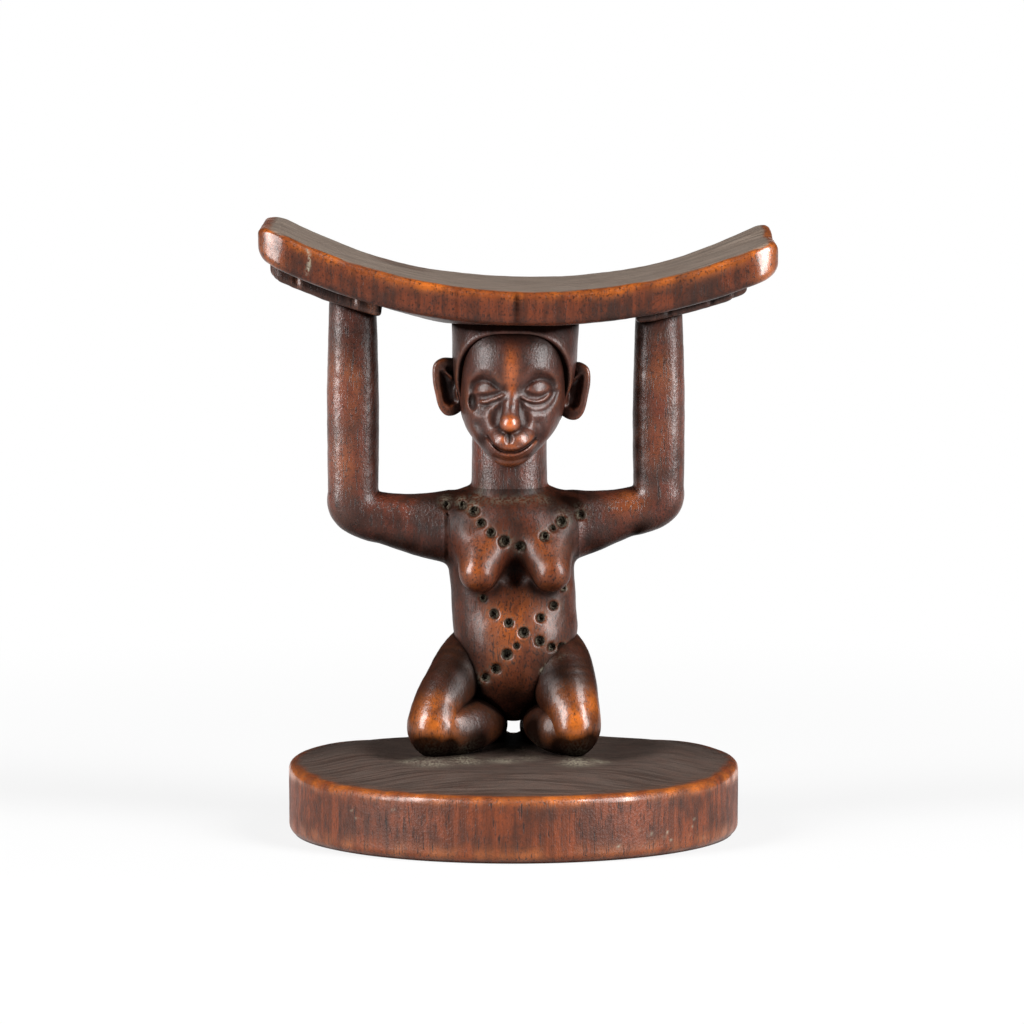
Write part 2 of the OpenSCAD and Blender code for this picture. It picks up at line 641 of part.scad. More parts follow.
color(SOOTED) base_disc();  // base
color(POLISHED) pillow_slab();  // pillow
color(POLISHED) torso_solid();  // torso
color(WOOD) neck_column();  // neck
color(WOOD) head_solid();  // head
color(SOOTED) coiffure_solid();  // coiffure
color(WOOD) ear_solid(LEFT);  // left_ear
color(WOOD) ear_solid(RIGHT);  // right_ear
color(WOOD) upper_arm_solid(LEFT);  // left_upper_arm
color(WOOD) upper_arm_solid(RIGHT);  // right_upper_arm
color(WOOD) forearm_solid(LEFT);  // left_forearm
color(WOOD) forearm_solid(RIGHT);  // right_forearm
color(SOOTED) hand_solid(LEFT);  // left_hand
color(SOOTED) hand_solid(RIGHT);  // right_hand
color(POLISHED) thigh_solid(LEFT);  // left_thigh
color(POLISHED) thigh_solid(RIGHT);  // right_thigh
color(WOOD) lower_leg_solid(LEFT);  // left_lower_leg
color(WOOD) lower_leg_solid(RIGHT);  // right_lower_leg
color(SOOTED) foot_solid(LEFT);  // left_foot
color(SOOTED) foot_solid(RIGHT);  // right_foot
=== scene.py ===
import math

import bmesh
import bpy
import numpy as np
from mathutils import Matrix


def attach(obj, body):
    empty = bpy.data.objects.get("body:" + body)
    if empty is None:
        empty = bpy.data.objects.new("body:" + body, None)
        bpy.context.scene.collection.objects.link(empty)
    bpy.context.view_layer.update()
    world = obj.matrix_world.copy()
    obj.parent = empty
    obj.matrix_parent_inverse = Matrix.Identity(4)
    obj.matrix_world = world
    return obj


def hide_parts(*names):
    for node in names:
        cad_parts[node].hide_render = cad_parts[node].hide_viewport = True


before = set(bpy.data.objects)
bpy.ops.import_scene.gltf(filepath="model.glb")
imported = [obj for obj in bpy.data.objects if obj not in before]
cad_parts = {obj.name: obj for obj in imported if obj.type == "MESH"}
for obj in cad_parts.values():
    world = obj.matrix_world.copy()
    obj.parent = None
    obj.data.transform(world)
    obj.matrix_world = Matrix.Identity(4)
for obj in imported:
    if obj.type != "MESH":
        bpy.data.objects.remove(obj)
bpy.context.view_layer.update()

import openvdb
from mathutils import Vector

# The base is a round of hardwood, 17.5 mm thick at its rim. It was hewn and scraped by hand, so its
# rim and top wander a little, and its top climbs to the land that the figure kneels on.
MM = 0.001
BASE_R = 59.25
BASE_H = 17.5
RIM_R = 2.4
LAND_RISE = 3.5
LAND_R = 38.0
LAND_Z = BASE_H + LAND_RISE
FLAT_R = BASE_R - RIM_R
UNEVEN = 0.35
AROUND = 400
ALONG = 150
# How the outline's points are shared out, from the middle of the underside to the middle of the top.
SPANS = {"under": 0.08, "low rim": 0.06, "side": 0.30, "high rim": 0.08, "top": 0.48}
# The wander of the hand: the length of each wave in metres and its share. Noise spreads over less
# than 0 to 1, so it is stretched.
WAVES = ((0.021, 0.62), (0.006, 0.28), (0.0022, 0.10))
STRETCH = 1.4
FOOT_KEPT_FLAT = 0.0003

# Steps of arithmetic in a node tree.
PLUS, MINUS, TIMES, LARGER, ABOVE, SINE, COSINE = [("ShaderNodeMath", {"operation": name}) for name in (
    "ADD", "SUBTRACT", "MULTIPLY", "MAXIMUM", "GREATER_THAN", "SINE", "COSINE")]
TIMES_KEPT, OVER_KEPT = [("ShaderNodeMath", {"operation": name, "use_clamp": True}) for name in (
    "MULTIPLY", "DIVIDE")]


def put(tree, kind, settings, inputs=(), out=0):
    """Adds one node with its settings. Inputs are values, or sockets to link from, in order or by
    identifier, name or number. Returns one of the node's outputs."""
    new = tree.nodes.new(kind)
    for key, value in settings.items():
        setattr(new, key, value)
    for key, value in inputs.items() if isinstance(inputs, dict) else enumerate(inputs):
        by_id = [s for s in new.inputs if s.identifier == key]
        socket = by_id[0] if by_id else new.inputs[key]
        if isinstance(value, bpy.types.NodeSocket):
            tree.links.new(value, socket)
        else:
            socket.default_value = value
    if isinstance(out, str):
        return [s for s in new.outputs if out in (s.identifier, s.name)][0]
    return new.outputs[out] if len(new.outputs) else None


def total_of(tree, start, *parts):
    """The start with the parts added to it. Each part is a value and its weight."""
    for value, weight in parts:
        start = put(tree, *PLUS, [put(tree, *TIMES, [value, weight]), start])
    return start


def base_tree():
    """A disc as a revolved outline: a grid whose length runs round the disc and whose width runs from
    the middle of the underside over the rim to the middle of the top."""
    tree = bpy.data.node_groups.new("revolved_base", "GeometryNodeTree")
    face = tree.interface
    face.new_socket("Geometry", in_out="OUTPUT", socket_type="NodeSocketGeometry")
    for name in ("Flat radius", "Height", "Rim rounding", "Land rise", "Land radius", "Unevenness", "Seed"):
        face.new_socket(name, in_out="INPUT", socket_type="NodeSocketFloat")
    face.new_socket("Wood", in_out="INPUT", socket_type="NodeSocketMaterial")
    given = tree.nodes.new("NodeGroupInput").outputs
    flat, rim = given["Flat radius"], given["Rim rounding"]
    disc = put(tree, "GeometryNodeMeshGrid", {}, {"Size X": 1.0, "Size Y": 1.0, "Vertices X": AROUND + 1,
        "Vertices Y": ALONG + 1}, "Mesh")
    place = put(tree, "GeometryNodeInputPosition", {})
    x, y, z = (put(tree, "ShaderNodeSeparateXYZ", {}, [place], axis) for axis in "XYZ")
    turn = put(tree, *TIMES, [x, 2 * math.pi])
    along = put(tree, *PLUS, [y, 0.5])
    share, start = {}, 0.0
    for name, width in SPANS.items():
        share[name] = put(tree, "ShaderNodeMapRange", {"clamp": True}, {"Value": along, "From Min": start,
            "From Max": start + width})
        start += width
    low = put(tree, *TIMES, [share["low rim"], math.pi / 2])
    high = put(tree, *TIMES, [share["high rim"], math.pi / 2])
    reach = total_of(tree, -1.0, (put(tree, *SINE, [low]), 1.0), (put(tree, *COSINE, [high]), 1.0))
    radius = total_of(tree, 0.0, (flat, put(tree, *MINUS, [share["under"], share["top"]])), (rim, reach))
    gone_in = put(tree, *TIMES, [share["top"], flat])
    climb = put(tree, *OVER_KEPT, [gone_in, put(tree, *MINUS, [flat, given["Land radius"]])])
    rise = total_of(tree, 0.5, (put(tree, *COSINE, [put(tree, *TIMES, [climb, math.pi])]), -0.5))
    wall = total_of(tree, given["Height"], (rim, -2.0))
    round_up = total_of(tree, 1.0, (put(tree, *COSINE, [low]), -1.0), (put(tree, *SINE, [high]), 1.0))
    height = total_of(tree, 0.0, (rim, round_up), (wall, share["side"]), (given["Land rise"], rise))
    across, deep = (put(tree, *TIMES, [radius, put(tree, *part, [turn])]) for part in (COSINE, SINE))
    spot = put(tree, "ShaderNodeCombineXYZ", {}, [across, deep, height])
    disc = put(tree, "GeometryNodeSetPosition", {}, {"Geometry": disc, "Position": spot})
    disc = put(tree, "GeometryNodeMergeByDistance", {}, {"Geometry": disc, "Distance": 0.00001})
    waves = [(put(tree, "ShaderNodeTexNoise", {"noise_dimensions": "4D"}, {"Vector": place,
        "W": given["Seed"], "Scale": 1 / period, "Detail": 1.0}), weight) for period, weight in WAVES]
    wander = put(tree, *TIMES, [total_of(tree, 0.0, *waves), given["Unevenness"]])
    above_foot = put(tree, *ABOVE, [z, FOOT_KEPT_FLAT])
    inward = put(tree, *TIMES, [wander, put(tree, *TIMES, [above_foot, -STRETCH])])
    way_out = put(tree, "GeometryNodeInputNormal", {})
    shift = put(tree, "ShaderNodeVectorMath", {"operation": "SCALE"}, {0: way_out, "Scale": inward},
        "Vector")
    disc = put(tree, "GeometryNodeSetPosition", {}, {"Geometry": disc, "Offset": shift})
    disc = put(tree, "GeometryNodeSetShadeSmooth", {}, [disc])
    disc = put(tree, "GeometryNodeRealizeInstances", {}, {"Geometry": disc})
    disc = put(tree, "GeometryNodeSetMaterial", {}, {"Geometry": disc, "Material": given["Wood"]})
    tree.links.new(disc, tree.nodes.new("NodeGroupOutput").inputs[0])
    return tree


def plain_mesh(tree, name, values):
    """Runs a node tree on an empty mesh and keeps the result as a plain mesh object."""
    carrier = bpy.data.objects.new(name + "_maker", bpy.data.meshes.new(name))
    bpy.context.scene.collection.objects.link(carrier)
    made = carrier.modifiers.new("maker", "NODES")
    made.node_group = tree
    for item in tree.interface.items_tree:
        if item.in_out == "INPUT" and item.name in values:
            made[item.identifier] = values[item.name]
    seen = carrier.evaluated_get(bpy.context.evaluated_depsgraph_get())
    mesh = bpy.data.meshes.new_from_object(seen)
    mesh.name = name
    bpy.data.objects.remove(carrier)
    piece = bpy.data.objects.new(name, mesh)
    bpy.context.scene.collection.objects.link(piece)
    return piece


def tone(code):
    """An sRGB hex colour as the linear colour that a shader takes."""
    parts = [int(code[i:i + 2], 16) / 255 for i in (1, 3, 5)]
    return tuple(c / 12.92 if c <= 0.04045 else ((c + 0.055) / 1.055) ** 2.4 for c in parts) + (1.0,)


# The patterns in the wood: size across and along in metres, detail, roughness, shift, and the axes
# that the pattern runs along. Streaks are 1 to 3 mm wide, pores a quarter of a millimetre wide and 3
# to 6 mm long, patches of patina about a centimetre across, and the mottle is half a millimetre wide.
PATTERNS = {"streak": (0.0018, 0.030, 3.0, 0.5, 0.0, (2,)), "pore": (0.00034, 0.0042, 1.0, 0.5, 0.0, (2,)),
    "patch": (0.0065, 0.010, 4.0, 0.62, 3.1, (2,)), "mottle": (0.0006, 0.0008, 2.0, 0.6, 7.7, (2,)),
    "grain": (0.00036, 0.0070, 2.0, 0.6, 1.9, (2,)), "scrape": (0.0007, 0.015, 3.0, 0.6, 5.3, (0, 2))}
# What shows of a pattern: where it begins, and where it is full.
SHOWN = {"streaks": ("streak", 0.42, 0.62), "pores": ("pore", 0.60, 0.70), "scrapes": ("scrape", 0.34, 0.66),
    "dark patches": ("patch", 0.38, 0.66), "rubbed patches": ("patch", 0.34, 0.66),
    "specks": ("mottle", 0.50, 0.72), "powder": ("mottle", 0.38, 0.62)}
# The second of these is the near black that the hollow mark mixes in: painted shade, with some grime.
PORE_DARK, SHADE_AND_GRIME, DUST = "#120a07", "#080403", "#7e7868"


def old_hardwood(name, heart, worn, deep, matt, pore_show=0.7, streak_show=0.5, speck_show=0.5, grit=1.0,
        ribs=0.6, shine=0.15, dull=("#241d1a", "#453c37"), dull_shine=0.0):
    """Close-grained hardwood, oiled and handled for generations. Its grain runs up the block. It is worn to
    a lighter, glossier orange where hands and cloth rub it, and the hollow mark darkens it to near black
    with painted shade and some grime."""
    wood = bpy.data.materials.new(name)
    wood.use_nodes = True
    tree = wood.node_tree
    tree.nodes.clear()
    where = put(tree, "ShaderNodeTexCoord", {}, (), "Object")
    noise, shown = {}, {}
    for key, (across, along, detail, rough, shift, long_axes) in PATTERNS.items():
        scale = [1 / along if axis in long_axes else 1 / across for axis in range(3)]
        scaled = put(tree, "ShaderNodeMapping", {}, {"Vector": where, "Location": (shift, shift, shift),
            "Scale": scale})
        noise[key] = put(tree, "ShaderNodeTexNoise", {}, {"Vector": scaled, "Scale": 1.0, "Detail": detail,
            "Roughness": rough}, "Fac")
    for key, (pattern, low, high) in SHOWN.items():
        shown[key] = put(tree, "ShaderNodeMapRange", {"interpolation_type": "SMOOTHSTEP"},
            {"Value": noise[pattern], "From Min": low, "From Max": high})
    rub, hollow, dulled, dust = (put(tree, "ShaderNodeAttribute", {"attribute_name": key}, (), "Fac")
        for key in ("worn", "hollow", "dulled", "dust"))
    broken = put(tree, *TIMES_KEPT, [rub, total_of(tree, 0.25, (shown["rubbed patches"], 0.95))])
    powder = put(tree, *TIMES_KEPT, [dust, shown["powder"]])
    body = {"dull": tone(dull[0]), "wood": tone(heart)}
    # The hollow mark mixes in near black, which is painted shade with some grime.
    for under, share, most, colour in (("dull", shown["scrapes"], 1.0, tone(dull[1])),
            ("wood", shown["dark patches"], 0.8, tone(deep)),
            ("wood", shown["streaks"], streak_show, tone(deep)),
            ("wood", broken, 1.0, tone(worn)), ("wood", shown["specks"], speck_show, tone(deep)),
            ("wood", shown["pores"], pore_show, tone(PORE_DARK)), ("wood", dulled, 0.92, "dull"),
            ("wood", hollow, 0.95, tone(SHADE_AND_GRIME)), ("wood", powder, 1.0, tone(DUST))):
        body[under] = put(tree, "ShaderNodeMix", {"data_type": "RGBA", "clamp_factor": True}, {
            "Factor_Float": put(tree, *TIMES, [share, most]), "A_Color": body[under],
            "B_Color": body[colour] if colour == "dull" else colour}, "Result_Color")
    gloss = total_of(tree, matt - 0.11, (broken, -0.14), (dulled, 0.12), (hollow, 0.10),
        (noise["patch"], 0.3))
    relief = total_of(tree, noise["mottle"], (shown["pores"], -0.35 * pore_show), (noise["grain"], ribs))
    bump = put(tree, "ShaderNodeBump", {}, {"Strength": 0.6, "Distance": 0.00026 * grit, "Height": relief})
    clean = put(tree, *MINUS, [1.0, hollow])
    open_wood = put(tree, *MINUS, [1.0, put(tree, *LARGER, [dulled, hollow])])
    level = total_of(tree, 0.0, (clean, 0.11), (open_wood, shine), (dulled, dull_shine))
    coat = put(tree, *TIMES, [put(tree, *TIMES, [broken, open_wood]), 0.8])
    skin = put(tree, "ShaderNodeBsdfPrincipled", {}, {"Base Color": body["wood"], "Roughness": gloss,
        "Normal": bump, "Specular IOR Level": level, "Coat Weight": coat, "Coat Roughness": 0.17})
    put(tree, "ShaderNodeOutputMaterial", {}, {"Surface": skin})
    return wood


members = []


def finish(piece, node, wood):
    """Gives a finished piece its material and body, hides the CAD part of its node, and keeps it with that
    node.
    """
    if not piece.data.materials:
        piece.data.materials.append(wood)
    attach(piece, "root")
    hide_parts(node)
    members.append((piece, node))


rubbed_base = old_hardwood("rubbed_base_hardwood", "#5a2810", "#864514", "#2a1207", matt=0.44,
    pore_show=0.85, streak_show=0.6, dull=("#28211d", "#3e3530"))
base = plain_mesh(base_tree(), "hewn_base", {"Flat radius": FLAT_R * MM, "Height": BASE_H * MM,
    "Rim rounding": RIM_R * MM, "Land rise": LAND_RISE * MM, "Land radius": LAND_R * MM,
    "Unevenness": UNEVEN * MM, "Seed": 4.0, "Wood": rubbed_base})
finish(base, "base", rubbed_base)

# The feet lie behind the seat with their soles up. They are the same block as the rest, like every
# member here, and were cut free of the base with a knife, with five short toes on each.
SIDES = (-1, 1)
FAR = 12.0
REACH = 7.0


def soft_min(a, b, fillet):
    """The nearer of two surfaces, with a fillet in the corner between them."""
    if fillet <= 0:
        return np.minimum(a, b)
    near = np.maximum(fillet - np.abs(a - b), 0) / fillet
    return np.minimum(a, b) - near * near * fillet * 0.25


class Block:
    """A block of wood as a grid of points. At each point, depth is how far it lies outside the carved
    surface, in millimetres, and it is negative inside the wood."""

    def __init__(self, low, high, pitch):
        self.low = np.array(low, float)
        self.pitch = pitch
        self.axes = [(np.arange(int(round((h - l) / pitch)) + 1) * pitch + l).astype(np.float32)
            for l, h in zip(low, high)]
        self.depth = np.full([len(a) for a in self.axes], FAR, np.float32)

    def window(self, low, high):
        cut = tuple(slice(np.searchsorted(a, l - REACH), np.searchsorted(a, h + REACH))
            for a, l, h in zip(self.axes, low, high))
        x, y, z = (a[c] for a, c in zip(self.axes, cut))
        return cut, x[:, None, None], y[None, :, None], z[None, None, :]

    def join(self, form, fillet):
        cut, x, y, z = self.window(form[0], form[1])
        if self.depth[cut].size:
            self.depth[cut] = soft_min(self.depth[cut], form[2](x, y, z), fillet)

    def carve(self, form, fillet):
        cut, x, y, z = self.window(form[0], form[1])
        if self.depth[cut].size:
            self.depth[cut] = -soft_min(-self.depth[cut], form[2](x, y, z), fillet)

    def worn_soft(self, rounds):
        """Rounds every edge a little, as handling does."""
        self.depth = blurred(self.depth, rounds)


def blurred(values, rounds):
    """Values on a grid, each mixed with its neighbours a number of times."""
    for _ in range(rounds):
        for axis in range(3):
            inner = [slice(None)] * 3
            before, after = list(inner), list(inner)
            inner[axis], before[axis], after[axis] = slice(1, -1), slice(None, -2), slice(2, None)
            soft = values.copy()
            beside = values[tuple(before)] + values[tuple(after)]
            soft[tuple(inner)] = beside * 0.25 + values[tuple(inner)] * 0.5
            values = soft
    return values


def form_box(points, radius):
    """The two corners of the space within a radius of points."""
    points = np.array(points, float)[:, :3]
    return points.min(0) - radius, points.max(0) + radius


def egg(at, radii):
    """A round or oval swelling."""
    def depth(x, y, z):
        gap = (x - at[0], y - at[1], z - at[2])
        far = np.sqrt(sum((p / r) ** 2 for p, r in zip(gap, radii)))
        steep = np.sqrt(sum((p / (r * r)) ** 2 for p, r in zip(gap, radii)))
        return far * (far - 1) / np.maximum(steep, 1e-4)
    return form_box([at], max(radii)) + (depth,)


def limb(stations, fillet=0.0):
    """A round limb through stations of x, y, z and radius."""
    stations = np.array(stations, float)

    def depth(x, y, z):
        best = None
        for a, b in zip(stations, stations[1:]):
            run = b[:3] - a[:3]
            share = ((x - a[0]) * run[0] + (y - a[1]) * run[1] + (z - a[2]) * run[2]) / (run @ run)
            share = np.clip(share, 0, 1)
            gap = np.sqrt((x - a[0] - share * run[0]) ** 2 + (y - a[1] - share * run[1]) ** 2
                + (z - a[2] - share * run[2]) ** 2) - (a[3] + share * (b[3] - a[3]))
            best = gap if best is None else soft_min(best, gap, fillet)
        return best
    return form_box(stations, stations[:, 3].max()) + (depth,)


def eased(at, values, where):
    """A smooth curve through values."""
    steep = np.gradient(values, at)
    i = np.clip(np.searchsorted(at, where) - 1, 0, len(at) - 2)
    h = at[i + 1] - at[i]
    t = np.clip((where - at[i]) / h, 0, 1)
    s = 1 - t
    return ((1 + 2 * t) * s * s * values[i] + t * s * s * h * steep[i]
        + t * t * (3 - 2 * t) * values[i + 1] - t * t * s * h * steep[i + 1])


def flowing(stations):
    """More stations between the given ones, on a smooth curve through them."""
    steps = 4
    stations = np.array(stations, float)
    at = np.arange(len(stations), dtype=float)
    where = np.linspace(0, at[-1], steps * len(stations[1:]) + 1)
    return np.stack([eased(at, stations[:, k], where) for k in range(4)], 1)


def under(z_top):
    """All that lies below a height."""
    return (-200, -200, -200), (200, 200, z_top), lambda x, y, z: z - z_top + 0 * x + 0 * y


def sampled(values, block, points):
    """A grid's values at points between its grid points."""
    at = (points - block.low) / block.pitch
    top = np.array(values.shape) - 2
    low = np.clip(np.floor(at).astype(int), 0, top)
    t = np.clip(at - low, 0, 1).astype(np.float32)
    total = 0
    for i in (0, 1):
        for j in (0, 1):
            for k in (0, 1):
                weight = (t[:, 0] if i else 1 - t[:, 0]) * (t[:, 1] if j else 1 - t[:, 1])
                weight = weight * (t[:, 2] if k else 1 - t[:, 2])
                total = total + weight * values[low[:, 0] + i, low[:, 1] + j, low[:, 2] + k]
    return total


def slope_of(values, block, points, step=0.5):
    """Which way is out of the wood at points, as unit vectors."""
    reach = block.pitch * step
    sides = []
    for axis in range(3):
        shift = np.zeros(3)
        shift[axis] = reach
        sides.append(sampled(values, block, points + shift) - sampled(values, block, points - shift))
    out = np.stack(sides, 1)
    return out / np.maximum(np.linalg.norm(out, axis=1, keepdims=True), 1e-6)


def unevenness(points, period, seed):
    """A smooth wander between about -1 and 1, from a few waves in random directions."""
    chance = np.random.default_rng(seed)
    total = np.zeros(len(points))
    for _ in range(7):
        way = chance.normal(size=3)
        way *= 2 * math.pi / period / np.linalg.norm(way) * chance.uniform(0.7, 1.5)
        total += np.sin(points @ way + chance.uniform(0, 6.28))
    return total / 3.2


def skin_of(block, tool_marks, seed):
    """The carved surface as points and four-cornered faces. Points are settled on the true surface,
    then moved a little where the knife wandered. Ridge tells how sharply the wood stands proud."""
    grid = openvdb.FloatGrid(FAR)
    grid.copyFromArray(block.depth)
    points, quads = grid.convertToQuads(isovalue=0.0)
    points = points.astype(float) * block.pitch + block.low
    for _ in range(3):
        points -= slope_of(block.depth, block, points) * sampled(block.depth, block, points)[:, None]
    soft = blurred(block.depth, max(2, int(round(1.1 / block.pitch ** 2))))
    ridge = sampled(soft, block, points)
    out = slope_of(block.depth, block, points, 1.5)
    wander = 0.7 * unevenness(points, 9.0, seed) + 0.3 * unevenness(points, 3.4, seed + 50)
    points += out * (tool_marks * wander)[:, None]
    return points, quads, ridge


def mesh_piece(name, points, quads, ridge):
    """A closed, smooth-shaded mesh object from points in millimetres, with a ridge value for each."""
    mesh = bpy.data.meshes.new(name)
    mesh.vertices.add(len(points))
    mesh.vertices.foreach_set("co", (points * MM).astype(np.float32).ravel())
    mesh.loops.add(quads.size)
    mesh.loops.foreach_set("vertex_index", quads.astype(np.int32).ravel())
    mesh.polygons.add(len(quads))
    mesh.polygons.foreach_set("loop_start", np.arange(len(quads), dtype=np.int32) * 4)
    mesh.update(calc_edges=True)
    mesh.polygons.foreach_set("use_smooth", np.ones(len(quads), bool))
    mesh.attributes.new("ridge", "FLOAT", "POINT").data.foreach_set("value", ridge.astype(np.float32))
    piece = bpy.data.objects.new(name, mesh)
    bpy.context.scene.collection.objects.link(piece)
    return piece


def mark_in_whole(carver):
    """Carves a member into the whole block as well."""
    part = Block(WHOLE_LOW, WHOLE_HIGH, WHOLE_PITCH)
    carver(part)
    whole.depth = np.minimum(whole.depth, part.depth)


def carved_piece(name, low, high, pitch, carver, tool_marks, seed):
    """Carves one member out of a block of its own, and marks it in the whole block."""
    block = Block(low, high, pitch)
    carver(block)
    points, quads, ridge = skin_of(block, tool_marks, seed)
    mark_in_whole(carver)
    return mesh_piece(name, points, quads, ridge)


# The whole block, on a coarse grid, tells later how deep in a hollow each point of the surface lies.
WHOLE_LOW, WHOLE_HIGH, WHOLE_PITCH = (-70, -36, 12), (70, 44, 168), 1.0
whole = Block(WHOLE_LOW, WHOLE_HIGH, WHOLE_PITCH)

SEAT_GAP = 3.6
ANKLE_R = 4.3
ANKLE_Y = 17.0
FOOT_L = 17.0
FOOT_W = 9.4
TOES = 5


def ankle_of(side):
    """An ankle's x, y, z and radius."""
    return np.array([side * (SEAT_GAP / 2 + ANKLE_R), ANKLE_Y, LAND_Z + ANKLE_R - 0.4, ANKLE_R])


def foot_carver(side):
    ankle = ankle_of(side)
    toe_y = ankle[1] + FOOT_L - 0.4
    mid = side * (SEAT_GAP / 2 + FOOT_W / 2 + 0.4)

    def carver(block):
        heel = ankle + [0, -2, -0.2, -0.6]
        arch = [(ankle[0] + mid) / 2, ankle[1] + 5, LAND_Z + 3.4, 3.7]
        ball = [mid, toe_y - 6.5, LAND_Z + 2.3, 3.1]
        block.join(limb([heel, arch, ball]), 1.0)
        block.join(egg([mid, toe_y - 6, LAND_Z + 1.8], [FOOT_W / 2 - 0.2, 4.6, 2.6]), 1.5)
        for i in range(TOES):
            x = mid - side * FOOT_W * ((i + 0.5) / TOES - 0.5)
            r = FOOT_W / TOES * (0.66 if i == TOES - 1 else 0.53)
            tip = toe_y - r - (TOES - 1 - i) * 0.6
            block.join(limb([[x, toe_y - 7, LAND_Z + r + 0.9, r], [x, tip, LAND_Z + r, r]]), 0.35)
        block.carve(under(LAND_Z - 0.5), 0.0)
    return carver


dull_feet = old_hardwood("grimed_feet_hardwood", "#2e1811", "#54301c", "#150b07", matt=0.5)
for side, word in zip(SIDES, ("left", "right")):
    foot = carved_piece(word + "_carved_foot", (-16, 8, 17), (16, 38, 36), 0.32, foot_carver(side), 0.1, 3)
    finish(foot, word + "_foot", dull_feet)

# The lower legs lie on the land and run back and inwards from the knees. Each was worked to a
# rounded bar, a little flat underneath, and shades into the knee in front of it.
KNEES = {-1: np.array([-20.6, -15.6, LAND_Z + 8.4, 6.2]), 1: np.array([16.1, -15.6, LAND_Z + 8.6, 5.7])}
# Stations of x, y, z and radius from the knee back to above the ankle.
SHINS = {
    -1: [[-20.4, -15.0, 28.8, 6.9], [-15.4, -13.6, 28.7, 6.8], [-10.8, -9.4, 29.4, 6.7],
        [-8.5, -3.6, 29.8, 6.7], [-7.8, 3.0, 29.0, 6.2], [-7.0, 9.0, 27.0, 5.4]],
    1: [[16.0, -15.0, 28.4, 6.3], [11.6, -13.0, 28.6, 6.2], [9.0, -8.6, 29.4, 6.2],
        [8.4, -3.0, 29.4, 6.2], [8.0, 3.0, 28.4, 5.9], [6.9, 9.0, 26.8, 5.3]]}


def lower_leg_carver(side):
    def carver(block):
        block.join(limb(flowing(SHINS[side] + [ankle_of(side)])), 0.8)
        block.carve(under(LAND_Z - 0.6), 0.0)
    return carver


oiled_legs = old_hardwood("oiled_leg_hardwood", "#2a120a", "#904a16", "#0e0603", matt=0.34, grit=0.5,
    shine=0.08)
for side, word in zip(SIDES, ("left", "right")):
    leg = carved_piece(word + "_carved_lower_leg", (-32, -30, 17), (32, 26, 42), 0.4,
        lower_leg_carver(side), 0.07, 5)
    finish(leg, word + "_lower_leg", oiled_legs)

# The thighs come down and forward from the hips to the knees. Knees and thighs stand proud and are
# worn bright, and a knife-cut crease parts each thigh from the belly.
HIP_Z = LAND_Z + 9
# Stations of x, y, z and radius from the hip to just above the knee.
THIGHS = {
    -1: [[-9.2, 3.5, 47.3, 8.1], [-12.8, -3.0, 45.0, 7.5], [-16.5, -8.6, 40.0, 7.0],
        [-19.4, -12.6, 34.8, 6.8]],
    1: [[8.8, 3.5, 47.0, 9.2], [11.6, -3.5, 44.6, 8.8], [13.4, -9.0, 39.6, 8.4],
        [15.0, -12.6, 34.8, 7.3]]}


def thigh_carver(side):
    knee = KNEES[side]

    def carver(block):
        block.join(limb(flowing(THIGHS[side] + [knee + [0, 0.6, 1.0, 0.2]])), 1.2)
        block.join(egg(knee[:3] + [0, 0, -0.6], [knee[3] - 0.1, 6.9, 7.2]), 4.0)
        block.carve(under(LAND_Z - 0.6), 0.0)
    return carver


for side, word in zip(SIDES, ("left", "right")):
    thigh = carved_piece(word + "_carved_thigh", (-34, -30, 17), (34, 20, 70), 0.4,
        thigh_carver(side), 0.07, 7)
    finish(thigh, word + "_thigh", oiled_legs)

# The torso is one straight column from the hips to the shoulders, with the breasts and the belly
# left standing. Pits were drilled into it with a hot point: a garland below the neck and a cross.
TORSO_X = -0.5
CHEST_HW = 16.7
SHOULDER_Z = 91.1
WAIST_Z = (HIP_Z + SHOULDER_Z) / 2 - 1
# Height, half width, front, back and middle of the column.
TORSO = np.array([
    [HIP_Z - 0.6, 2.4, -3, 8, 0.2],
    [HIP_Z + 1.6, 6.2, -7.0, 10.5, 0.1],
    [HIP_Z + 5, 10.4, -10.8, 14, -0.4],
    [HIP_Z + 10, 13.4, -13.6, 16.2, 0.0],
    [HIP_Z + 17, 15.0, -14.6, 15, 0.3],
    [WAIST_Z - 6, 16.3, -13.8, 12.9, 0.5],
    [WAIST_Z, 16.3, -13.0, 12.4, 0.1],
    [WAIST_Z + 5, 16.3, -12.7, 12.2, -0.1],
    [WAIST_Z + 9, 16.4, -11.8, 12.2, -0.5],
    [SHOULDER_Z - 16, 16.6, -11.8, 12.4, -0.7],
    [SHOULDER_Z - 10, 16.3, -11.2, 12.4, -0.7],
    [SHOULDER_Z - 6, 15.8, -10.2, 12.2, -0.7],
    [SHOULDER_Z - 3, 14.9, -8.4, 11.2, -0.8],
    [SHOULDER_Z - 1.6, 13.4, -6.8, 10.0, -0.9],
    [SHOULDER_Z - 0.5, 11.8, -5.0, 8.6, -1.0],
    [SHOULDER_Z + 0.6, 9.4, -3.0, 7.0, -1.1]])
NECK = np.array([
    [SHOULDER_Z - 8, 10.6, -9.6, 11.2, -1.1],
    [SHOULDER_Z - 3, 10.2, -8.9, 10.9, -1.1],
    [SHOULDER_Z - 1, 10.0, -8.6, 10.6, -1.1],
    [SHOULDER_Z + 3, 9.9, -8.4, 10.3, -1.1],
    [SHOULDER_Z + 10, 9.8, -8.3, 10.2, -1.1],
    [SHOULDER_Z + 20, 9.9, -8.2, 10.2, -1.0]])


def section(across, deep, half_width, half_depth, power):
    """Depth below a rounded, squarish section: power 2 is an ellipse, and more is squarer."""
    u = np.abs(across) / half_width + 1e-4
    v = np.abs(deep) / half_depth + 1e-4
    size = u ** power + v ** power
    far = size ** (1 / power)
    steep_u, steep_v = u ** (power - 1) / half_width, v ** (power - 1) / half_depth
    steep = far / size * np.sqrt(steep_u ** 2 + steep_v ** 2)
    return (far - 1) / np.maximum(steep, 0.02)


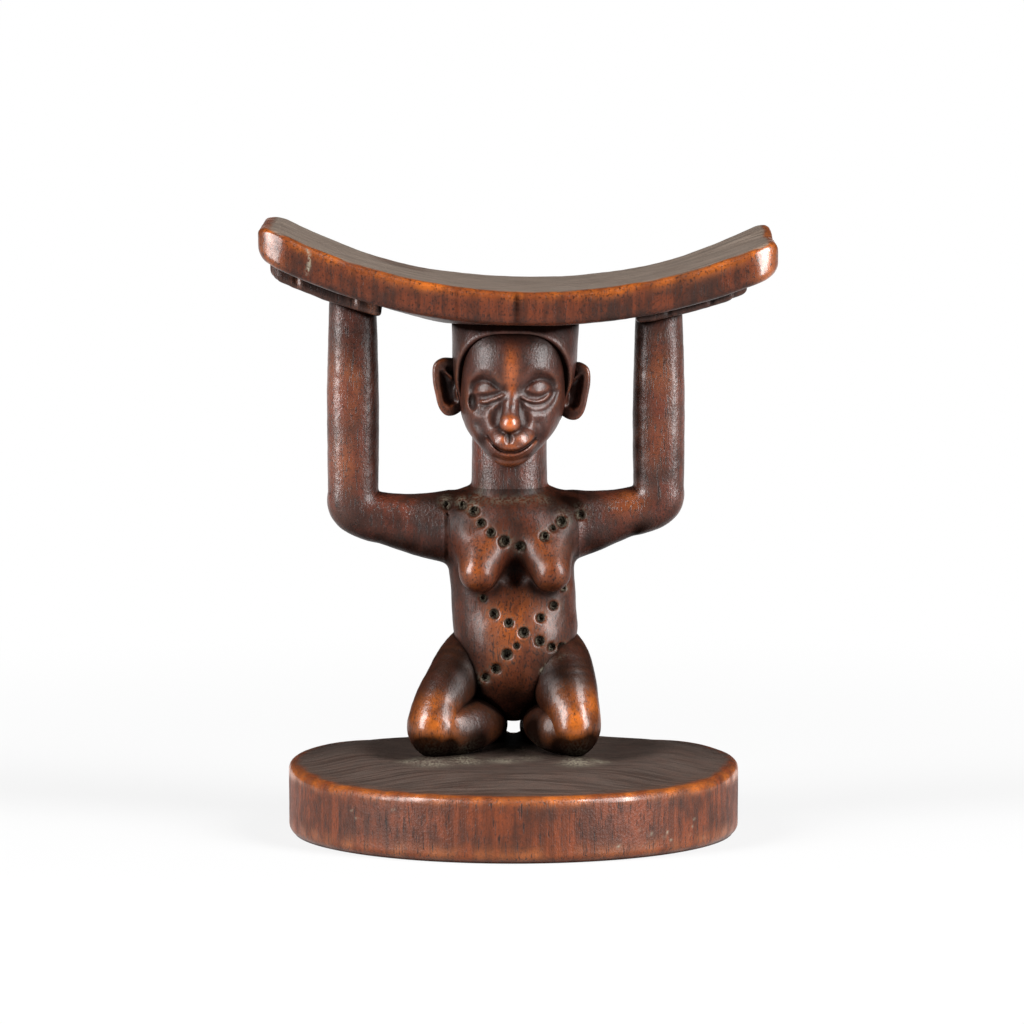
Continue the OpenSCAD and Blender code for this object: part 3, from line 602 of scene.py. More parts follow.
def post(stations, power):
    """A post that stands upright, through level outlines."""
    low = (stations[:, 4].min() - stations[:, 1].max(), stations[:, 2].min(), stations[0, 0])
    high = (stations[:, 4].max() + stations[:, 1].max(), stations[:, 3].max(), stations[-1, 0])

    def depth(x, y, z):
        hw, front, back, mid = (eased(stations[:, 0], stations[:, k], z) for k in (1, 2, 3, 4))
        side = section(x - mid, y - (front + back) / 2, hw, (back - front) / 2, power)
        return -soft_min(-side, -np.maximum(z - stations[-1, 0], stations[0, 0] - z), 1.0)
    return low, high, depth


# Stations of x, y, z and radius down the outer and the inner side of each breast, to one tip.
BREASTS = {
    -1: [[[-11.4, -5.0, 80.5, 5.4], [-9.9, -9.8, 75.0, 5.1], [-9.3, -14.2, 69.9, 4.6]],
        [[-3.4, -7.6, 80.4, 5.2], [-5.9, -10.9, 75.4, 5.0], [-8.9, -14.3, 69.8, 4.5]]],
    1: [[[11.8, -5.0, 80.5, 5.2], [10.8, -9.8, 75.0, 4.9], [10.3, -14.2, 69.9, 4.4]],
        [[4.2, -7.6, 80.4, 5.2], [6.6, -10.9, 75.4, 4.9], [9.6, -14.2, 69.8, 4.4]]]}


def torso_carver(block):
    block.join(post(TORSO, 2.5), 0.0)
    # The seat, the belly, and the shelf of the chest with the hollow between the breasts.
    for side in SIDES:
        x = TORSO_X + side * 7.6
        block.join(limb([[x, 11.6, HIP_Z + 6.2, 7.4], [x, 9.8, HIP_Z + 9.6, 6.8],
            [x, 8.0, HIP_Z + 13, 6.2]]), 1.5)
    block.join(egg([0.4, -7.2, WAIST_Z - 8], [11, 7.6, 11]), 3.0)
    shelf = [[-10.5, -4.4, 80.6, 7.0], [-5, -5.6, 81.4, 7.2], [0.4, -6.4, 82.2, 7.0],
        [5.4, -5.6, 81.6, 7.0], [10.8, -4.4, 81.0, 6.8]]
    block.join(limb(flowing(shelf)), 3.0)
    block.carve(egg([0.4, -14.4, 69.8], [5.0, 4.4, 4.4]), 0.8)
    for side in SIDES:
        for flank in BREASTS[side]:
            block.join(limb(flowing(flank)), 2.2)


def neck_carver(block):
    block.join(post(NECK, 2.25), 1.2)
    crease = [[math.cos(a) * 10.3 - 1.1, 1.0 + math.sin(a) * 9.9,
        SHOULDER_Z - 1.6 + 1.5 * math.sin(a), 0.22] for a in np.linspace(0, 2 * math.pi, 25)]
    block.carve(limb(crease, 0.2), 0.5)


# Each pit: how far right of the torso's middle, height, and radius.
PITS = [
    # The garland.
    (-17.1, 87.0, 1.3), (-12.9, 87.0, 1.25), (-9.8, 85.7, 1.5), (-8.0, 82.7, 1.25), (-5.4, 80.4, 1.3),
    (-1.7, 78.1, 1.65), (2.2, 76.6, 1.35), (8.7, 79.4, 1.4), (10.8, 81.3, 0.95), (13.1, 83.0, 1.6),
    (18.1, 84.4, 1.5),
    # The bar of the cross that falls to the left, and the one that falls to the right.
    (13.5, 65.2, 0.9), (11.0, 60.9, 1.2), (7.6, 57.9, 1.2), (3.2, 54.3, 1.6), (1.3, 50.8, 1.0),
    (-1.2, 48.5, 1.6), (-4.1, 44.6, 1.4), (-6.8, 42.2, 1.3),
    (-7.4, 63.0, 1.0), (-4.6, 59.0, 1.35), (-0.7, 56.7, 1.35), (7.4, 52.0, 1.4), (10.5, 50.2, 1.15),
    (13.1, 50.0, 1.15)]
PIT_DEPTH = 1.15
# A crease parts the left breast from the arm beside it.
SEAM_X = TORSO_X - CHEST_HW


def front_at(block, x, z):
    """Where the surface lies when seen from the front."""
    ys = np.arange(-26, 8, 0.1)
    gap = sampled(block.depth, block, np.stack([np.full(len(ys), x), ys, np.full(len(ys), z)], 1))
    return ys[np.argmax(gap < 0)]


# The arms are squared posts with round corners. Each leaves the chest level, turns up at the elbow
# round the corner of the open window beside the head, and thins a little to the wrist.
ARM_GAP = 66.8
ARMS_X = -2.0
FOREARM_W = 13.2
FOREARM_DEPTH = 13.2
UPPER_ARM_T = {-1: 13.5, 1: 12.9}
ARM_ROOT_H = {-1: 19.2, 1: 18.1}
ARM_ROOT_DEEPER = 1.9
ELBOW_Z = {-1: 89.7, 1: 91.1}
WRIST_Z = {-1: 141.0, 1: 137.0}


def arm(side):
    """An arm in one form: the upper arm, the corner of the elbow and the forearm."""
    corner_x = ARMS_X + side * ARM_GAP / 2
    corner_z = ELBOW_Z[side]
    root_x = TORSO_X + side * CHEST_HW
    span = abs(corner_x - root_x)
    top = WRIST_Z[side] + 3

    def depth(x, y, z):
        # In front view, p runs outwards from the window's corner and q up from the upper arm's top
        # line. Inside is the way into the wood from there, and turn is the angle round the elbow, from
        # 0 degrees below the corner to 90 beside it.
        p = side * (x - corner_x)
        share = np.clip(-p / span, 0, 1)
        top_line = corner_z + (SHOULDER_Z - 1.0 - corner_z) * share ** 1.5 - 0.8 * np.sin(math.pi * share)
        q = z - top_line
        away = np.hypot(np.maximum(p, 0), np.minimum(q, 0))
        inside = np.where(q > 0, p, np.where(p > 0, away, -q))
        inside = np.where((q > 0) & (p < 0), np.maximum(p, -q), inside)
        turn = np.clip(np.degrees(np.arctan2(np.maximum(p, 0), np.maximum(-q, 1e-3))), 0, 90)
        turn = np.where(q > 0, 90.0, turn)
        thick = UPPER_ARM_T[side]
        reach = thick + (FOREARM_W - thick) * turn / 90
        reach = reach + 0.3 * np.sin(np.radians(2 * turn)) - 0.5 * np.sin(np.radians(4 * turn))
        reach = np.where(p < 0, thick + (ARM_ROOT_H[side] - thick) * share ** 1.25, reach)
        climb = np.clip(q / (WRIST_Z[side] - corner_z), 0, 1)
        slim = 1 - 0.08 * climb ** 2
        swell = 0.3 * np.sin(math.pi * climb)
        mid = reach / 2
        deep = FOREARM_DEPTH / 2 * slim + np.where(p < 0, ARM_ROOT_DEEPER * share ** 2, 0)
        side_gap = section(inside - mid, y, mid * slim + swell, deep, 2.5)
        return np.maximum(side_gap, np.maximum(z - top, root_x * side - 4 - x * side))
    low = (min(root_x, corner_x) - 16, -FOREARM_DEPTH / 2, corner_z - 20)
    high = (max(root_x, corner_x) + 16, FOREARM_DEPTH / 2, top)
    return low, high, depth


def trunk_carver(block):
    torso_carver(block)
    for side in SIDES:
        block.join(arm(side), 2.0)
    neck_carver(block)
    block.worn_soft(1)


def pitted_trunk_carver(block):
    trunk_carver(block)
    for x, z, r in PITS:
        y = front_at(block, TORSO_X + x, z)
        block.carve(limb([[TORSO_X + x, y - 0.3, z, 1.1 * r],
            [TORSO_X + x, y + PIT_DEPTH * r ** 0.5, z, 0.6 * r]]), 0.4)
    seam = [[SEAM_X, front_at(block, SEAM_X, z), z, 0.3] for z in np.linspace(73, 86, 7)]
    block.carve(limb(seam), 0.3)


trunk = Block((-54, -24, 20), (54, 22, 150), 0.42)
pitted_trunk_carver(trunk)
trunk_points, trunk_quads, trunk_ridge = skin_of(trunk, 0.07, 11)
mark_in_whole(trunk_carver)


def cut_from_trunk(name, planes):
    """One member of the trunk: the side of each plane that its arrow points away from, with the cut
    faces closed. A plane is a point on it and its arrow."""
    keep = np.ones(len(trunk_points), bool)
    for at, way in planes:
        keep &= (trunk_points - at) @ np.array(way) < 2.0
    faces = trunk_quads[keep[trunk_quads].all(1)]
    used = np.unique(faces)
    renumber = np.zeros(len(trunk_points), int)
    renumber[used] = np.arange(len(used))
    piece = mesh_piece(name, trunk_points[used], renumber[faces], trunk_ridge[used])
    work = bmesh.new()
    work.from_mesh(piece.data)
    for at, way in planes:
        bmesh.ops.bisect_plane(work, geom=work.verts[:] + work.edges[:] + work.faces[:], dist=1e-7,
            plane_co=Vector(at) * MM, plane_no=Vector(way), clear_outer=True)
    for loop_edge in [e for e in work.edges if e.is_boundary]:
        loop_edge.smooth = False
    old = set(work.faces)
    bmesh.ops.holes_fill(work, edges=[e for e in work.edges if e.is_boundary], sides=0)
    for face in work.faces:
        if face not in old:
            face.smooth = False
    work.to_mesh(piece.data)
    work.free()
    return piece


red_arms = old_hardwood("reddened_arm_hardwood", "#4a2013", "#804018", "#160a06", matt=0.32,
    streak_show=0.4, speck_show=0.7, grit=0.95, ribs=0.1, shine=0.32)
oiled_torso = old_hardwood("oiled_torso_hardwood", "#3a190d", "#834012", "#120805", matt=0.40,
    speck_show=0.9, grit=0.6, ribs=0.2, shine=0.06)
half = math.sqrt(0.5)
inner = {side: ARMS_X + side * ARM_GAP / 2 for side in SIDES}
# The arms part from the trunk just outside its widest place, so that no cut shows on its flanks.
ARM_ROOT_X = {side: TORSO_X + side * (CHEST_HW + 0.8) for side in SIDES}
flanks = [((ARM_ROOT_X[side], 0, 0), (side, 0, 0)) for side in SIDES]
torso = cut_from_trunk("carved_torso", flanks + [((0, 0, SHOULDER_Z), (0, 0, 1))])
finish(torso, "torso", oiled_torso)
neck = cut_from_trunk("carved_neck", flanks + [((0, 0, SHOULDER_Z), (0, 0, -1))])
finish(neck, "neck", red_arms)
elbows = {side: ((inner[side], 0, ELBOW_Z[side]), (side * half, 0, half)) for side in SIDES}
for side, word in zip(SIDES, ("left", "right")):
    root = ((ARM_ROOT_X[side], 0, 0), (-side, 0, 0))
    upper = cut_from_trunk(word + "_carved_upper_arm", [root, elbows[side]])
    finish(upper, word + "_upper_arm", red_arms)
for side, word in zip(SIDES, ("left", "right")):
    corner, way = elbows[side]
    window = ((inner[side] - side * 3, 0, 0), (-side, 0, 0))
    forearm = cut_from_trunk(word + "_carved_forearm", [window, (corner, tuple(-part for part in way))])
    finish(forearm, word + "_forearm", red_arms)

# The pillow is a slab bent to a saddle. Its top carried heads and its edges were held, so the top is dulled,
# with a pale grey-brown that is partly painted sheen, and the upper edges are worn to orange. Its front
# corners were cut off at a slant.
SADDLE_R = 149.0
SADDLE_X = 5.5
SADDLE_Z = 144.2
PILLOW_T = 8.7
PILLOW_W = 60.0
PILLOW_L = 134.0
PILLOW_X = 1.2
PILLOW_EDGE = 1.9
PILLOW_CORNER = 6.5
CROWN = 1.2
BELLIED = 1.5
BACK_RISE = 1.6
FACET = 56.4
PILLOW_TOP_Z = 160.45


def pillow_up(x, z):
    """The height above the slab's underside."""
    return SADDLE_R + PILLOW_T - np.hypot(x - SADDLE_X, SADDLE_Z + SADDLE_R - z)


def underside_z(x, below=0.0):
    """How high the slab's underside is at x, or a surface some way below it."""
    return SADDLE_Z + SADDLE_R - np.sqrt((SADDLE_R + PILLOW_T + below) ** 2 - (x - SADDLE_X) ** 2)


def pillow_carver(block):
    half_l = PILLOW_L / 2

    def depth(x, y, z):
        # The back edge rises towards the right end.
        rightward = np.clip((x - SADDLE_X) / (PILLOW_X + half_l - SADDLE_X), 0, 1) ** 1.5
        up = pillow_up(x, z) - BACK_RISE * rightward * np.clip(2 * y / PILLOW_W, 0, 1)
        run = x - PILLOW_X + 0 * y
        # Tip is 1 at the two ends, where the slab narrows and thins.
        tip = np.clip((np.abs(run) - half_l + PILLOW_CORNER) / PILLOW_CORNER, 0, 1) ** 4
        half_w = PILLOW_W / 2 - np.where(y > 0, 1.2, 0.3) * tip
        u = np.maximum(np.abs(run) - half_l + PILLOW_CORNER, 0)
        v = np.maximum(np.abs(y) - half_w + PILLOW_CORNER, 0)
        edge = np.hypot(u, v) - PILLOW_CORNER
        edge = np.where((u == 0) | (v == 0), np.maximum(np.abs(run) - half_l, np.abs(y) - half_w), edge)
        # The belly is crowned, and most of all left of the middle.
        crown = CROWN + BELLIED * np.exp(-((run + 20) / 11) ** 2)
        crown = crown * (1 - (y / (PILLOW_W / 2)) ** 2) * np.clip((half_l - np.abs(run)) / 12, 0, 1)
        # The top dips a little at the right end, and on both sides near the back.
        dip = 0.9 * np.exp(-((y - 8) / 9) ** 2) * np.exp(-((run - half_l) / 7) ** 2)
        dip = dip + 0.6 * np.exp(-((np.abs(x - 4) - 34) / 15) ** 2) * np.clip(y / 15, 0, 1)
        flat = np.maximum(up - PILLOW_T + dip + 1.4 * tip, 0.7 * tip - crown - up)
        # The front corners are cut off at a slant.
        facet = np.abs(run) * 0.5 - y * 0.866 + (z - 154) * 0.14 - FACET
        edge = -soft_min(-edge, -facet, 1.0)
        r = PILLOW_EDGE
        a, b = edge + r, flat + r
        slab = np.minimum(np.maximum(a, b), 0) + np.hypot(np.maximum(a, 0), np.maximum(b, 0)) - r
        return -soft_min(-slab, PILLOW_TOP_Z - z, 1.5)
    block.join(((-66, -30, 134), (68.2, 30, 161), depth), 0.0)


# The dull colours are paler than the wood under them: partly painted sheen.
rubbed_pillow = old_hardwood("rubbed_pillow_hardwood", "#49200f", "#8a4614", "#1c0c06",
    matt=0.36, pore_show=0.5, streak_show=0.6, speck_show=0.9, grit=0.6, ribs=0.1, shine=0.15,
    dull=("#43382f", "#6b5e53"), dull_shine=0.6)
pillow = carved_piece("saddle_pillow", (-72, -34, 128), (74, 34, 170), 0.5, pillow_carver, 0.08, 21)
finish(pillow, "pillow", rubbed_pillow)

# The hands lie flat under the pillow with the fingers out. Each is a slab that follows the pillow,
# with four fingers scored in its underside and the knuckles of the nearest one cut as square steps.
HAND_L = 29.0
HAND_W = 17.0
HAND_T = {-1: 4.3, 1: 3.2}
HAND_Y = -2.0
HAND_EDGE = 1.2
FINGERS = 4
SCORED_FROM = 8.0
# How much each finger falls short of the longest, from the front, and where the knuckles are cut.
SHORTER = {-1: (1.6, 0.6, 0.0, 1.8), 1: (3.6, 0.0, 0.8, 2.0)}
KNUCKLES = {-1: (7.2, 21.9), 1: (8.5, 19.5)}


def hand_carver(side):
    heel = inner[side] - side * (1 if side < 0 else -0.4)

    def depth(x, y, z):
        up = pillow_up(x, z)
        along = side * (x - heel) + 0 * y
        finger = np.floor((y - HAND_Y) / HAND_W * FINGERS + FINGERS / 2)
        finger = np.clip(finger, 0, FINGERS - 1).astype(int)
        reach = HAND_L - np.array(SHORTER[side])[finger]
        gaps = [np.maximum(along - reach, -along), np.abs(y - HAND_Y) - HAND_W / 2,
            np.maximum(-up - HAND_T[side], up - 1.5)]
        gaps = [g + HAND_EDGE for g in gaps]
        outside = np.sqrt(sum(np.maximum(g, 0) ** 2 for g in gaps))
        return np.minimum(np.maximum(np.maximum(gaps[0], gaps[1]), gaps[2]), 0) + outside - HAND_EDGE

    def at(along, y, r, lower=0.0):
        x = heel + side * along
        return [x, y, float(underside_z(x, HAND_T[side] + lower)), r]

    def carver(block):
        ends = sorted((heel, heel + side * HAND_L))
        block.join(((ends[0], HAND_Y - HAND_W / 2, 130), (ends[1], HAND_Y + HAND_W / 2, 156), depth), 0.0)
        for i in range(1, FINGERS):
            y = HAND_Y + HAND_W * (i / FINGERS - 0.5)
            block.carve(limb([at(a, y, 0.7) for a in np.linspace(SCORED_FROM, HAND_L + 1, 8)]), 0.4)
        front = HAND_Y - HAND_W / 2 - 0.3
        for a in KNUCKLES[side]:
            block.carve(limb([at(a, front, 0.9, 1.0), at(a, front, 0.9, -HAND_T[side] - 1)]), 0.3)
        block.worn_soft(1)
    return carver


grimed_hands = old_hardwood("grimed_hand_hardwood", "#301811", "#64361f", "#120906", matt=0.40)
for side, word in zip(SIDES, ("left", "right")):
    ends = sorted((inner[side] - side * 5, inner[side] + side * 34))
    hand = carved_piece(word + "_carved_hand", (ends[0], -16, 128), (ends[1], 14, 160), 0.3,
        hand_carver(side), 0.12, 23)
    finish(hand, word + "_hand", grimed_hands)

# The head is an egg cut off at the crown by the pillow. The face is carved in low relief on its
# front: closed eyes in ringed sockets under a domed forehead, a wedge nose and a smiling mouth.
CHIN_Z = 97.8
CROWN_Z = 138.0
HEAD = np.array([
    [CHIN_Z - 0.2, 1.8, -17.2, -12, -0.9],
    [CHIN_Z + 1.0, 4.0, -18.8, -8, -0.9],
    [CHIN_Z + 3.2, 6.4, -19.5, -3, -0.8],
    [CHIN_Z + 6.2, 9.5, -19.4, 3.5, -0.7],
    [CHIN_Z + 9.2, 11.7, -18.9, 8, -0.6],
    [CHIN_Z + 12.4, 13.0, -18.4, 11, -0.4],
    [CHIN_Z + 16, 13.6, -18.1, 12.8, -0.2],
    [CHIN_Z + 21, 14.0, -18.1, 13.5, -0.1],
    [CHIN_Z + 26, 14.2, -18.5, 13.5, 0.0],
    [CHIN_Z + 31, 14.4, -17.9, 13.5, 0.1],
    [CHIN_Z + 36, 14.6, -15.8, 12.6, 0.2],
    [CROWN_Z + 2, 14.4, -13.4, 11.6, 0.2]])


def line_gap(x, z, points):
    """How far each place in front view lies from a line through points."""
    best = np.full(np.broadcast(x, z).shape, 1e3)
    for (ax, az), (bx, bz) in zip(points, points[1:]):
        rx, rz = bx - ax, bz - az
        share = np.clip(((x - ax) * rx + (z - az) * rz) / (rx * rx + rz * rz), 0, 1)
        best = np.minimum(best, np.hypot(x - ax - share * rx, z - az - share * rz))
    return best


def dome(x, z, mid, radii, height, power):
    """A swelling with an oval outline, or a dent where height is below nought."""
    inside = 1 - ((x - mid[0]) / radii[0]) ** 2 - ((z - mid[1]) / radii[1]) ** 2
    return height * np.maximum(inside, 0) ** power


def stroke(x, z, points, width, height):
    """A soft ridge along a smooth line through points, or a groove where height is below nought."""
    return height * np.exp(-(line_gap(x, z, smooth_line(points)) / width) ** 2)


def smooth_line(points, closed=False):
    """More points between the given ones, on a smooth curve through them."""
    steps = 5
    points = np.array(points, float)
    if closed:
        points = np.vstack([points[-2:], points, points[:2]])
    at = np.arange(len(points), dtype=float)
    ends = (1.5, len(points) - 2.5) if closed else (0, len(points) - 1)
    where = np.linspace(ends[0], ends[1], steps * (len(points) - 1) + 1)
    line = list(zip(eased(at, points[:, 0], where), eased(at, points[:, 1], where)))
    return line[:-1] + line[:1] if closed else line


def inset(x, z, points):
    """How far inside a smooth closed outline each place lies, and below nought outside it."""
    line = smooth_line(points, True)
    inside = np.zeros(np.broadcast(x, z).shape, bool)
    for (ax, az), (bx, bz) in zip(line, line[1:]):
        if az != bz:
            inside ^= ((az > z) != (bz > z)) & (x < (bx - ax) * (z - az) / (bz - az) + ax)
    gap = line_gap(x, z, line)
    return np.where(inside, gap, -gap)


def ledge(gap, width):
    """Climbs from 0 to 1 over a width, from an outline inwards."""
    t = np.clip(gap / width, 0, 1)
    return t * t * (3 - 2 * t)


# Outlines of each eye in front view, as x and z: its socket, its upper lid, and lines along the lower
# lid and the rings below it.
EYES = {
    -1: {
        "socket": [(-12.2, 116.6), (-11.9, 119.2), (-10.7, 121.1), (-8.4, 122.3), (-6.0, 122.0),
            (-4.0, 120.7), (-2.4, 118.8), (-1.7, 117.3), (-2.6, 115.6), (-4.4, 113.3), (-6.3, 111.4),
            (-8.2, 110.4), (-10.2, 110.8), (-11.6, 113.0)],
        "lid": [(-10.9, 116.6), (-10.7, 118.2), (-9.8, 119.6), (-8.2, 120.4), (-6.4, 120.3),
            (-4.6, 119.1), (-2.6, 117.5), (-4.2, 116.9), (-6.2, 116.3), (-8.6, 115.9), (-10.2, 116.0)],
        "lower": [(-8.2, 114.7), (-7.2, 114.7), (-6.0, 115.2), (-4.2, 115.9), (-2.9, 116.6)],
        "cuts": [[(-8.6, 113.8), (-6.6, 113.7), (-5.0, 114.3), (-3.6, 115.3)]],
        "rings": [[(-8.6, 112.6), (-6.8, 112.6), (-5.2, 113.6)]],
        "bulge": (-8.4, 117.0), "low rim": 0.5},
    1: {
        "socket": [(1.2, 117.6), (1.8, 119.6), (3.2, 121.4), (5.4, 122.6), (7.6, 122.8), (9.8, 122.1),
            (11.3, 120.4), (12.1, 118.0), (11.9, 115.2), (10.6, 112.6), (8.6, 110.9), (6.0, 110.7),
            (3.8, 111.9), (2.2, 114.2)],
        "lid": [(2.5, 117.5), (3.2, 118.9), (4.6, 120.1), (6.6, 120.8), (8.6, 120.4), (9.9, 119.2),
            (10.1, 117.9), (9.0, 116.7), (7.0, 116.1), (5.0, 116.2), (3.6, 116.8)],
        "lower": [(2.3, 116.0), (3.8, 115.2), (5.8, 114.8), (7.8, 115.2), (9.4, 116.5)],
        "cuts": [[(2.7, 115.0), (4.6, 114.1), (6.8, 114.0), (8.8, 114.9), (10.3, 117.0)],
            [(3.4, 112.9), (6.0, 112.0), (8.6, 112.5), (10.6, 114.7), (11.5, 117.2)]],
        "rings": [[(2.6, 114.4), (4.2, 113.2), (6.8, 112.9), (9.2, 113.8), (10.9, 116.0), (11.2, 118.0)]],
        "bulge": (6.4, 117.6), "low rim": 0.2}}


def eye_relief(x, z, eye):
    """A round socket under a sharp brow, an upper lid like a half moon, and the rings below the slit."""
    into = inset(x, z, eye["socket"])
    height = np.clip((z - 110.5) / 12, 0, 1)
    total = -ledge(into, 2.2) * (eye["low rim"] + (1.3 - eye["low rim"]) * height)
    lid = inset(x, z, eye["lid"])
    low = np.hypot((x - eye["bulge"][0]) / 3.4, (z - eye["bulge"][1]) / 2.6)
    total = total + ledge(lid, 1.3) * (0.4 + 0.5 * np.exp(-low * low))
    total = total + stroke(x, z, eye["lower"], 0.5, 0.55)
    for line in eye["cuts"]:
        total = total + stroke(x, z, line, 0.5, -0.22)
    for line in eye["rings"]:
        total = total + stroke(x, z, line, 0.7, 0.13)
    return total


def face_relief(x, z):
    """How far the face stands out of the plain egg, in front view."""
    total = sum(eye_relief(x, z, EYES[side]) for side in SIDES)
    # The damage under the left eye.
    total = total + dome(x, z, (-10.6, 114.3), (1.3, 2.3), -0.7, 1.0)
    # The brows, the grooves beside the nose, and the soft ridges and the folds of the cheeks.
    for line, width, height in (
            ([(-11.4, 120.8), (-8.6, 123.2), (-5.6, 122.8), (-3.0, 120.6)], 1.3, 0.25),
            ([(2.2, 121.2), (5.0, 123.5), (8.4, 123.5), (11.4, 121.6)], 1.3, 0.25),
            ([(-2.8, 114.0), (-4.2, 112.0), (-4.6, 109.6)], 1.5, -0.7),
            ([(1.5, 114.4), (2.7, 112.2), (3.2, 110.0)], 1.4, -0.7),
            ([(-6.6, 111.2), (-6.1, 109.2), (-5.4, 107.4)], 1.0, 0.15),
            ([(4.4, 110.8), (4.7, 109.2), (4.4, 107.8)], 1.0, 0.15),
            ([(-9.0, 108.6), (-8.0, 106.8), (-7.6, 105.2)], 1.5, -0.6),
            ([(6.4, 109.0), (6.9, 107.2), (6.8, 105.4)], 1.5, -0.7)):
        total = total + stroke(x, z, line, width, height)
    # The muzzle, the two lobes of the upper lip and the dimple between them.
    total = total + dome(x, z, (-0.7, 104.4), (7.4, 4.8), 2.2, 1.2)
    total = total + dome(x, z, (-3.6, 105.5), (2.7, 2.1), 0.6, 1.0)
    total = total + dome(x, z, (2.4, 105.9), (3.4, 2.2), 0.6, 1.0)
    dimple = np.hypot((x + 1.2) / 1.0, (z - 105.5) / 1.35)
    total = total - 0.75 * np.exp(-dimple ** 4)
    # The upper lip, the line of the mouth, the lower lip and the groove under it.
    upper_lip = [(-5.2, 104.7), (-3.4, 103.6), (-0.8, 103.2), (1.8, 103.5), (3.8, 104.5)]
    total = total + stroke(x, z, upper_lip, 0.6, 0.25)
    mouth = [(-6.7, 105.8), (-5.4, 104.2), (-4.0, 102.9), (-2.4, 102.25), (-0.8, 102.1), (1.0, 102.3),
        (3.0, 103.2), (4.6, 104.3), (5.7, 105.2)]
    total = total + stroke(x, z, mouth, 0.42, -0.8)
    lower_lip = [(-6.7, 104.9), (-5.4, 103.2), (-4.0, 101.8), (-2.6, 101.1), (-0.7, 100.9), (1.2, 101.2),
        (2.8, 102.1), (4.4, 103.3), (5.7, 104.5)]
    total = total + stroke(x, z, lower_lip, 0.55, 0.5)
    under_lip = [(-4.6, 100.5), (-2.6, 99.7), (-0.8, 99.5), (1.2, 99.8), (3.2, 100.7)]
    total = total + stroke(x, z, under_lip, 0.7, -0.3)
    return total


def hairline_z(x, y):
    """The hair starts level over the forehead and falls behind the temples to the nape."""
    return 132.5 - 0.093 * np.maximum(y + 18.0, 0) ** 2 - 0.0016 * np.abs(x + 0.6) ** 3


def head_carver(block):
    block.join(post(HEAD, 2.3), 0.0)
    block.worn_soft(1)
    x, y, z = (a for a in np.meshgrid(*block.axes, indexing="ij", sparse=True))
    face = face_relief(x[:, 0, :], z[0, 0][None, :]).astype(np.float32)
    front = np.clip((-3 - y) / 6, 0, 1)
    block.depth = block.depth - face[:, None, :] * front
    # The nose, from its root to its tip.
    block.join(limb([[0.0, -17.0, 117.6, 1.1], [-0.6, -17.9, 114.6, 1.7]]), 1.4)
    block.join(limb([[-0.8, -17.9, 113.6, 1.7], [-0.9, -19.4, 110.0, 2.4]]), 0.8)
    block.join(egg([-0.9, -19.8, 109.2], [2.6, 2.9, 2.3]), 1.0)
    block.depth = np.maximum(block.depth, z - underside_z(x) - 0.6)
    block.depth = np.maximum(block.depth, (z - hairline_z(x, y) - 1.2) * 0.6)


oiled_face = old_hardwood("oiled_face_hardwood", "#3a1c14", "#9c4c1a", "#140a06", matt=0.37, pore_show=0.3,
    streak_show=0.3, speck_show=0.7, grit=0.8, ribs=0.0, shine=0.26)
head = carved_piece("carved_head", (-18, -27, 94), (18, 17, 142), 0.26, head_carver, 0.04, 31)
finish(head, "head", oiled_face)

# The hair is a close, smooth cap. Its edge was cut square to the brow, so it stands a little proud of
# the forehead and leaves a dark line under it.
HAIR_T = 1.3
HAIR_FULL = np.clip((HEAD[:, :1] - 113) / 8, 0.1, 1)
HAIR = HEAD + np.array([0, HAIR_T + 0.7, 0.2 - HAIR_T, HAIR_T, 0.3]) * HAIR_FULL


def hair_carver(block):
    block.join(post(HAIR, 2.35), 0.0)
    x, y, z = (a for a in np.meshgrid(*block.axes, indexing="ij", sparse=True))
    edge = (hairline_z(x, y) - z) * 0.62
    block.depth = -soft_min(-block.depth, -edge, 0.8)
    block.depth = np.maximum(block.depth, z - underside_z(x) - 0.6)
    block.depth = np.maximum(block.depth, 99 - z + 0 * x)


dark_hair = old_hardwood("darkened_hair_hardwood", "#42211a", "#7c4426", "#180c08", matt=0.36,
    pore_show=0.4, ribs=0.2, shine=0.25)
hair = carved_piece("carved_coiffure", (-20, -23, 96), (20, 19, 142), 0.34, hair_carver, 0.06, 33)
finish(hair, "coiffure", dark_hair)

# The ears are shallow cups with thick rolled rims, left standing from the block and hollowed with the
# tip of the knife. They stand out square to the head.
# The outline of the left ear in front view, as x and z. The right one is its mirror, a little lower.
EAR = [(-13.6, 124.4), (-16.2, 125.0), (-18.9, 124.9), (-20.9, 123.2), (-21.1, 119.6), (-20.4, 115.6),
    (-19.6, 112.4), (-18.2, 110.4), (-16.4, 109.9), (-14.4, 110.6), (-12.6, 112.6), (-12.0, 118.0)]
EAR_FLAP = [(-18.9, 123.6), (-17.6, 121.6), (-16.0, 120.2)]
EAR_FRONT = -4.8
EAR_BACK = -1.0
RIGHT_EAR_SHIFT = (-1.1, -1.1)


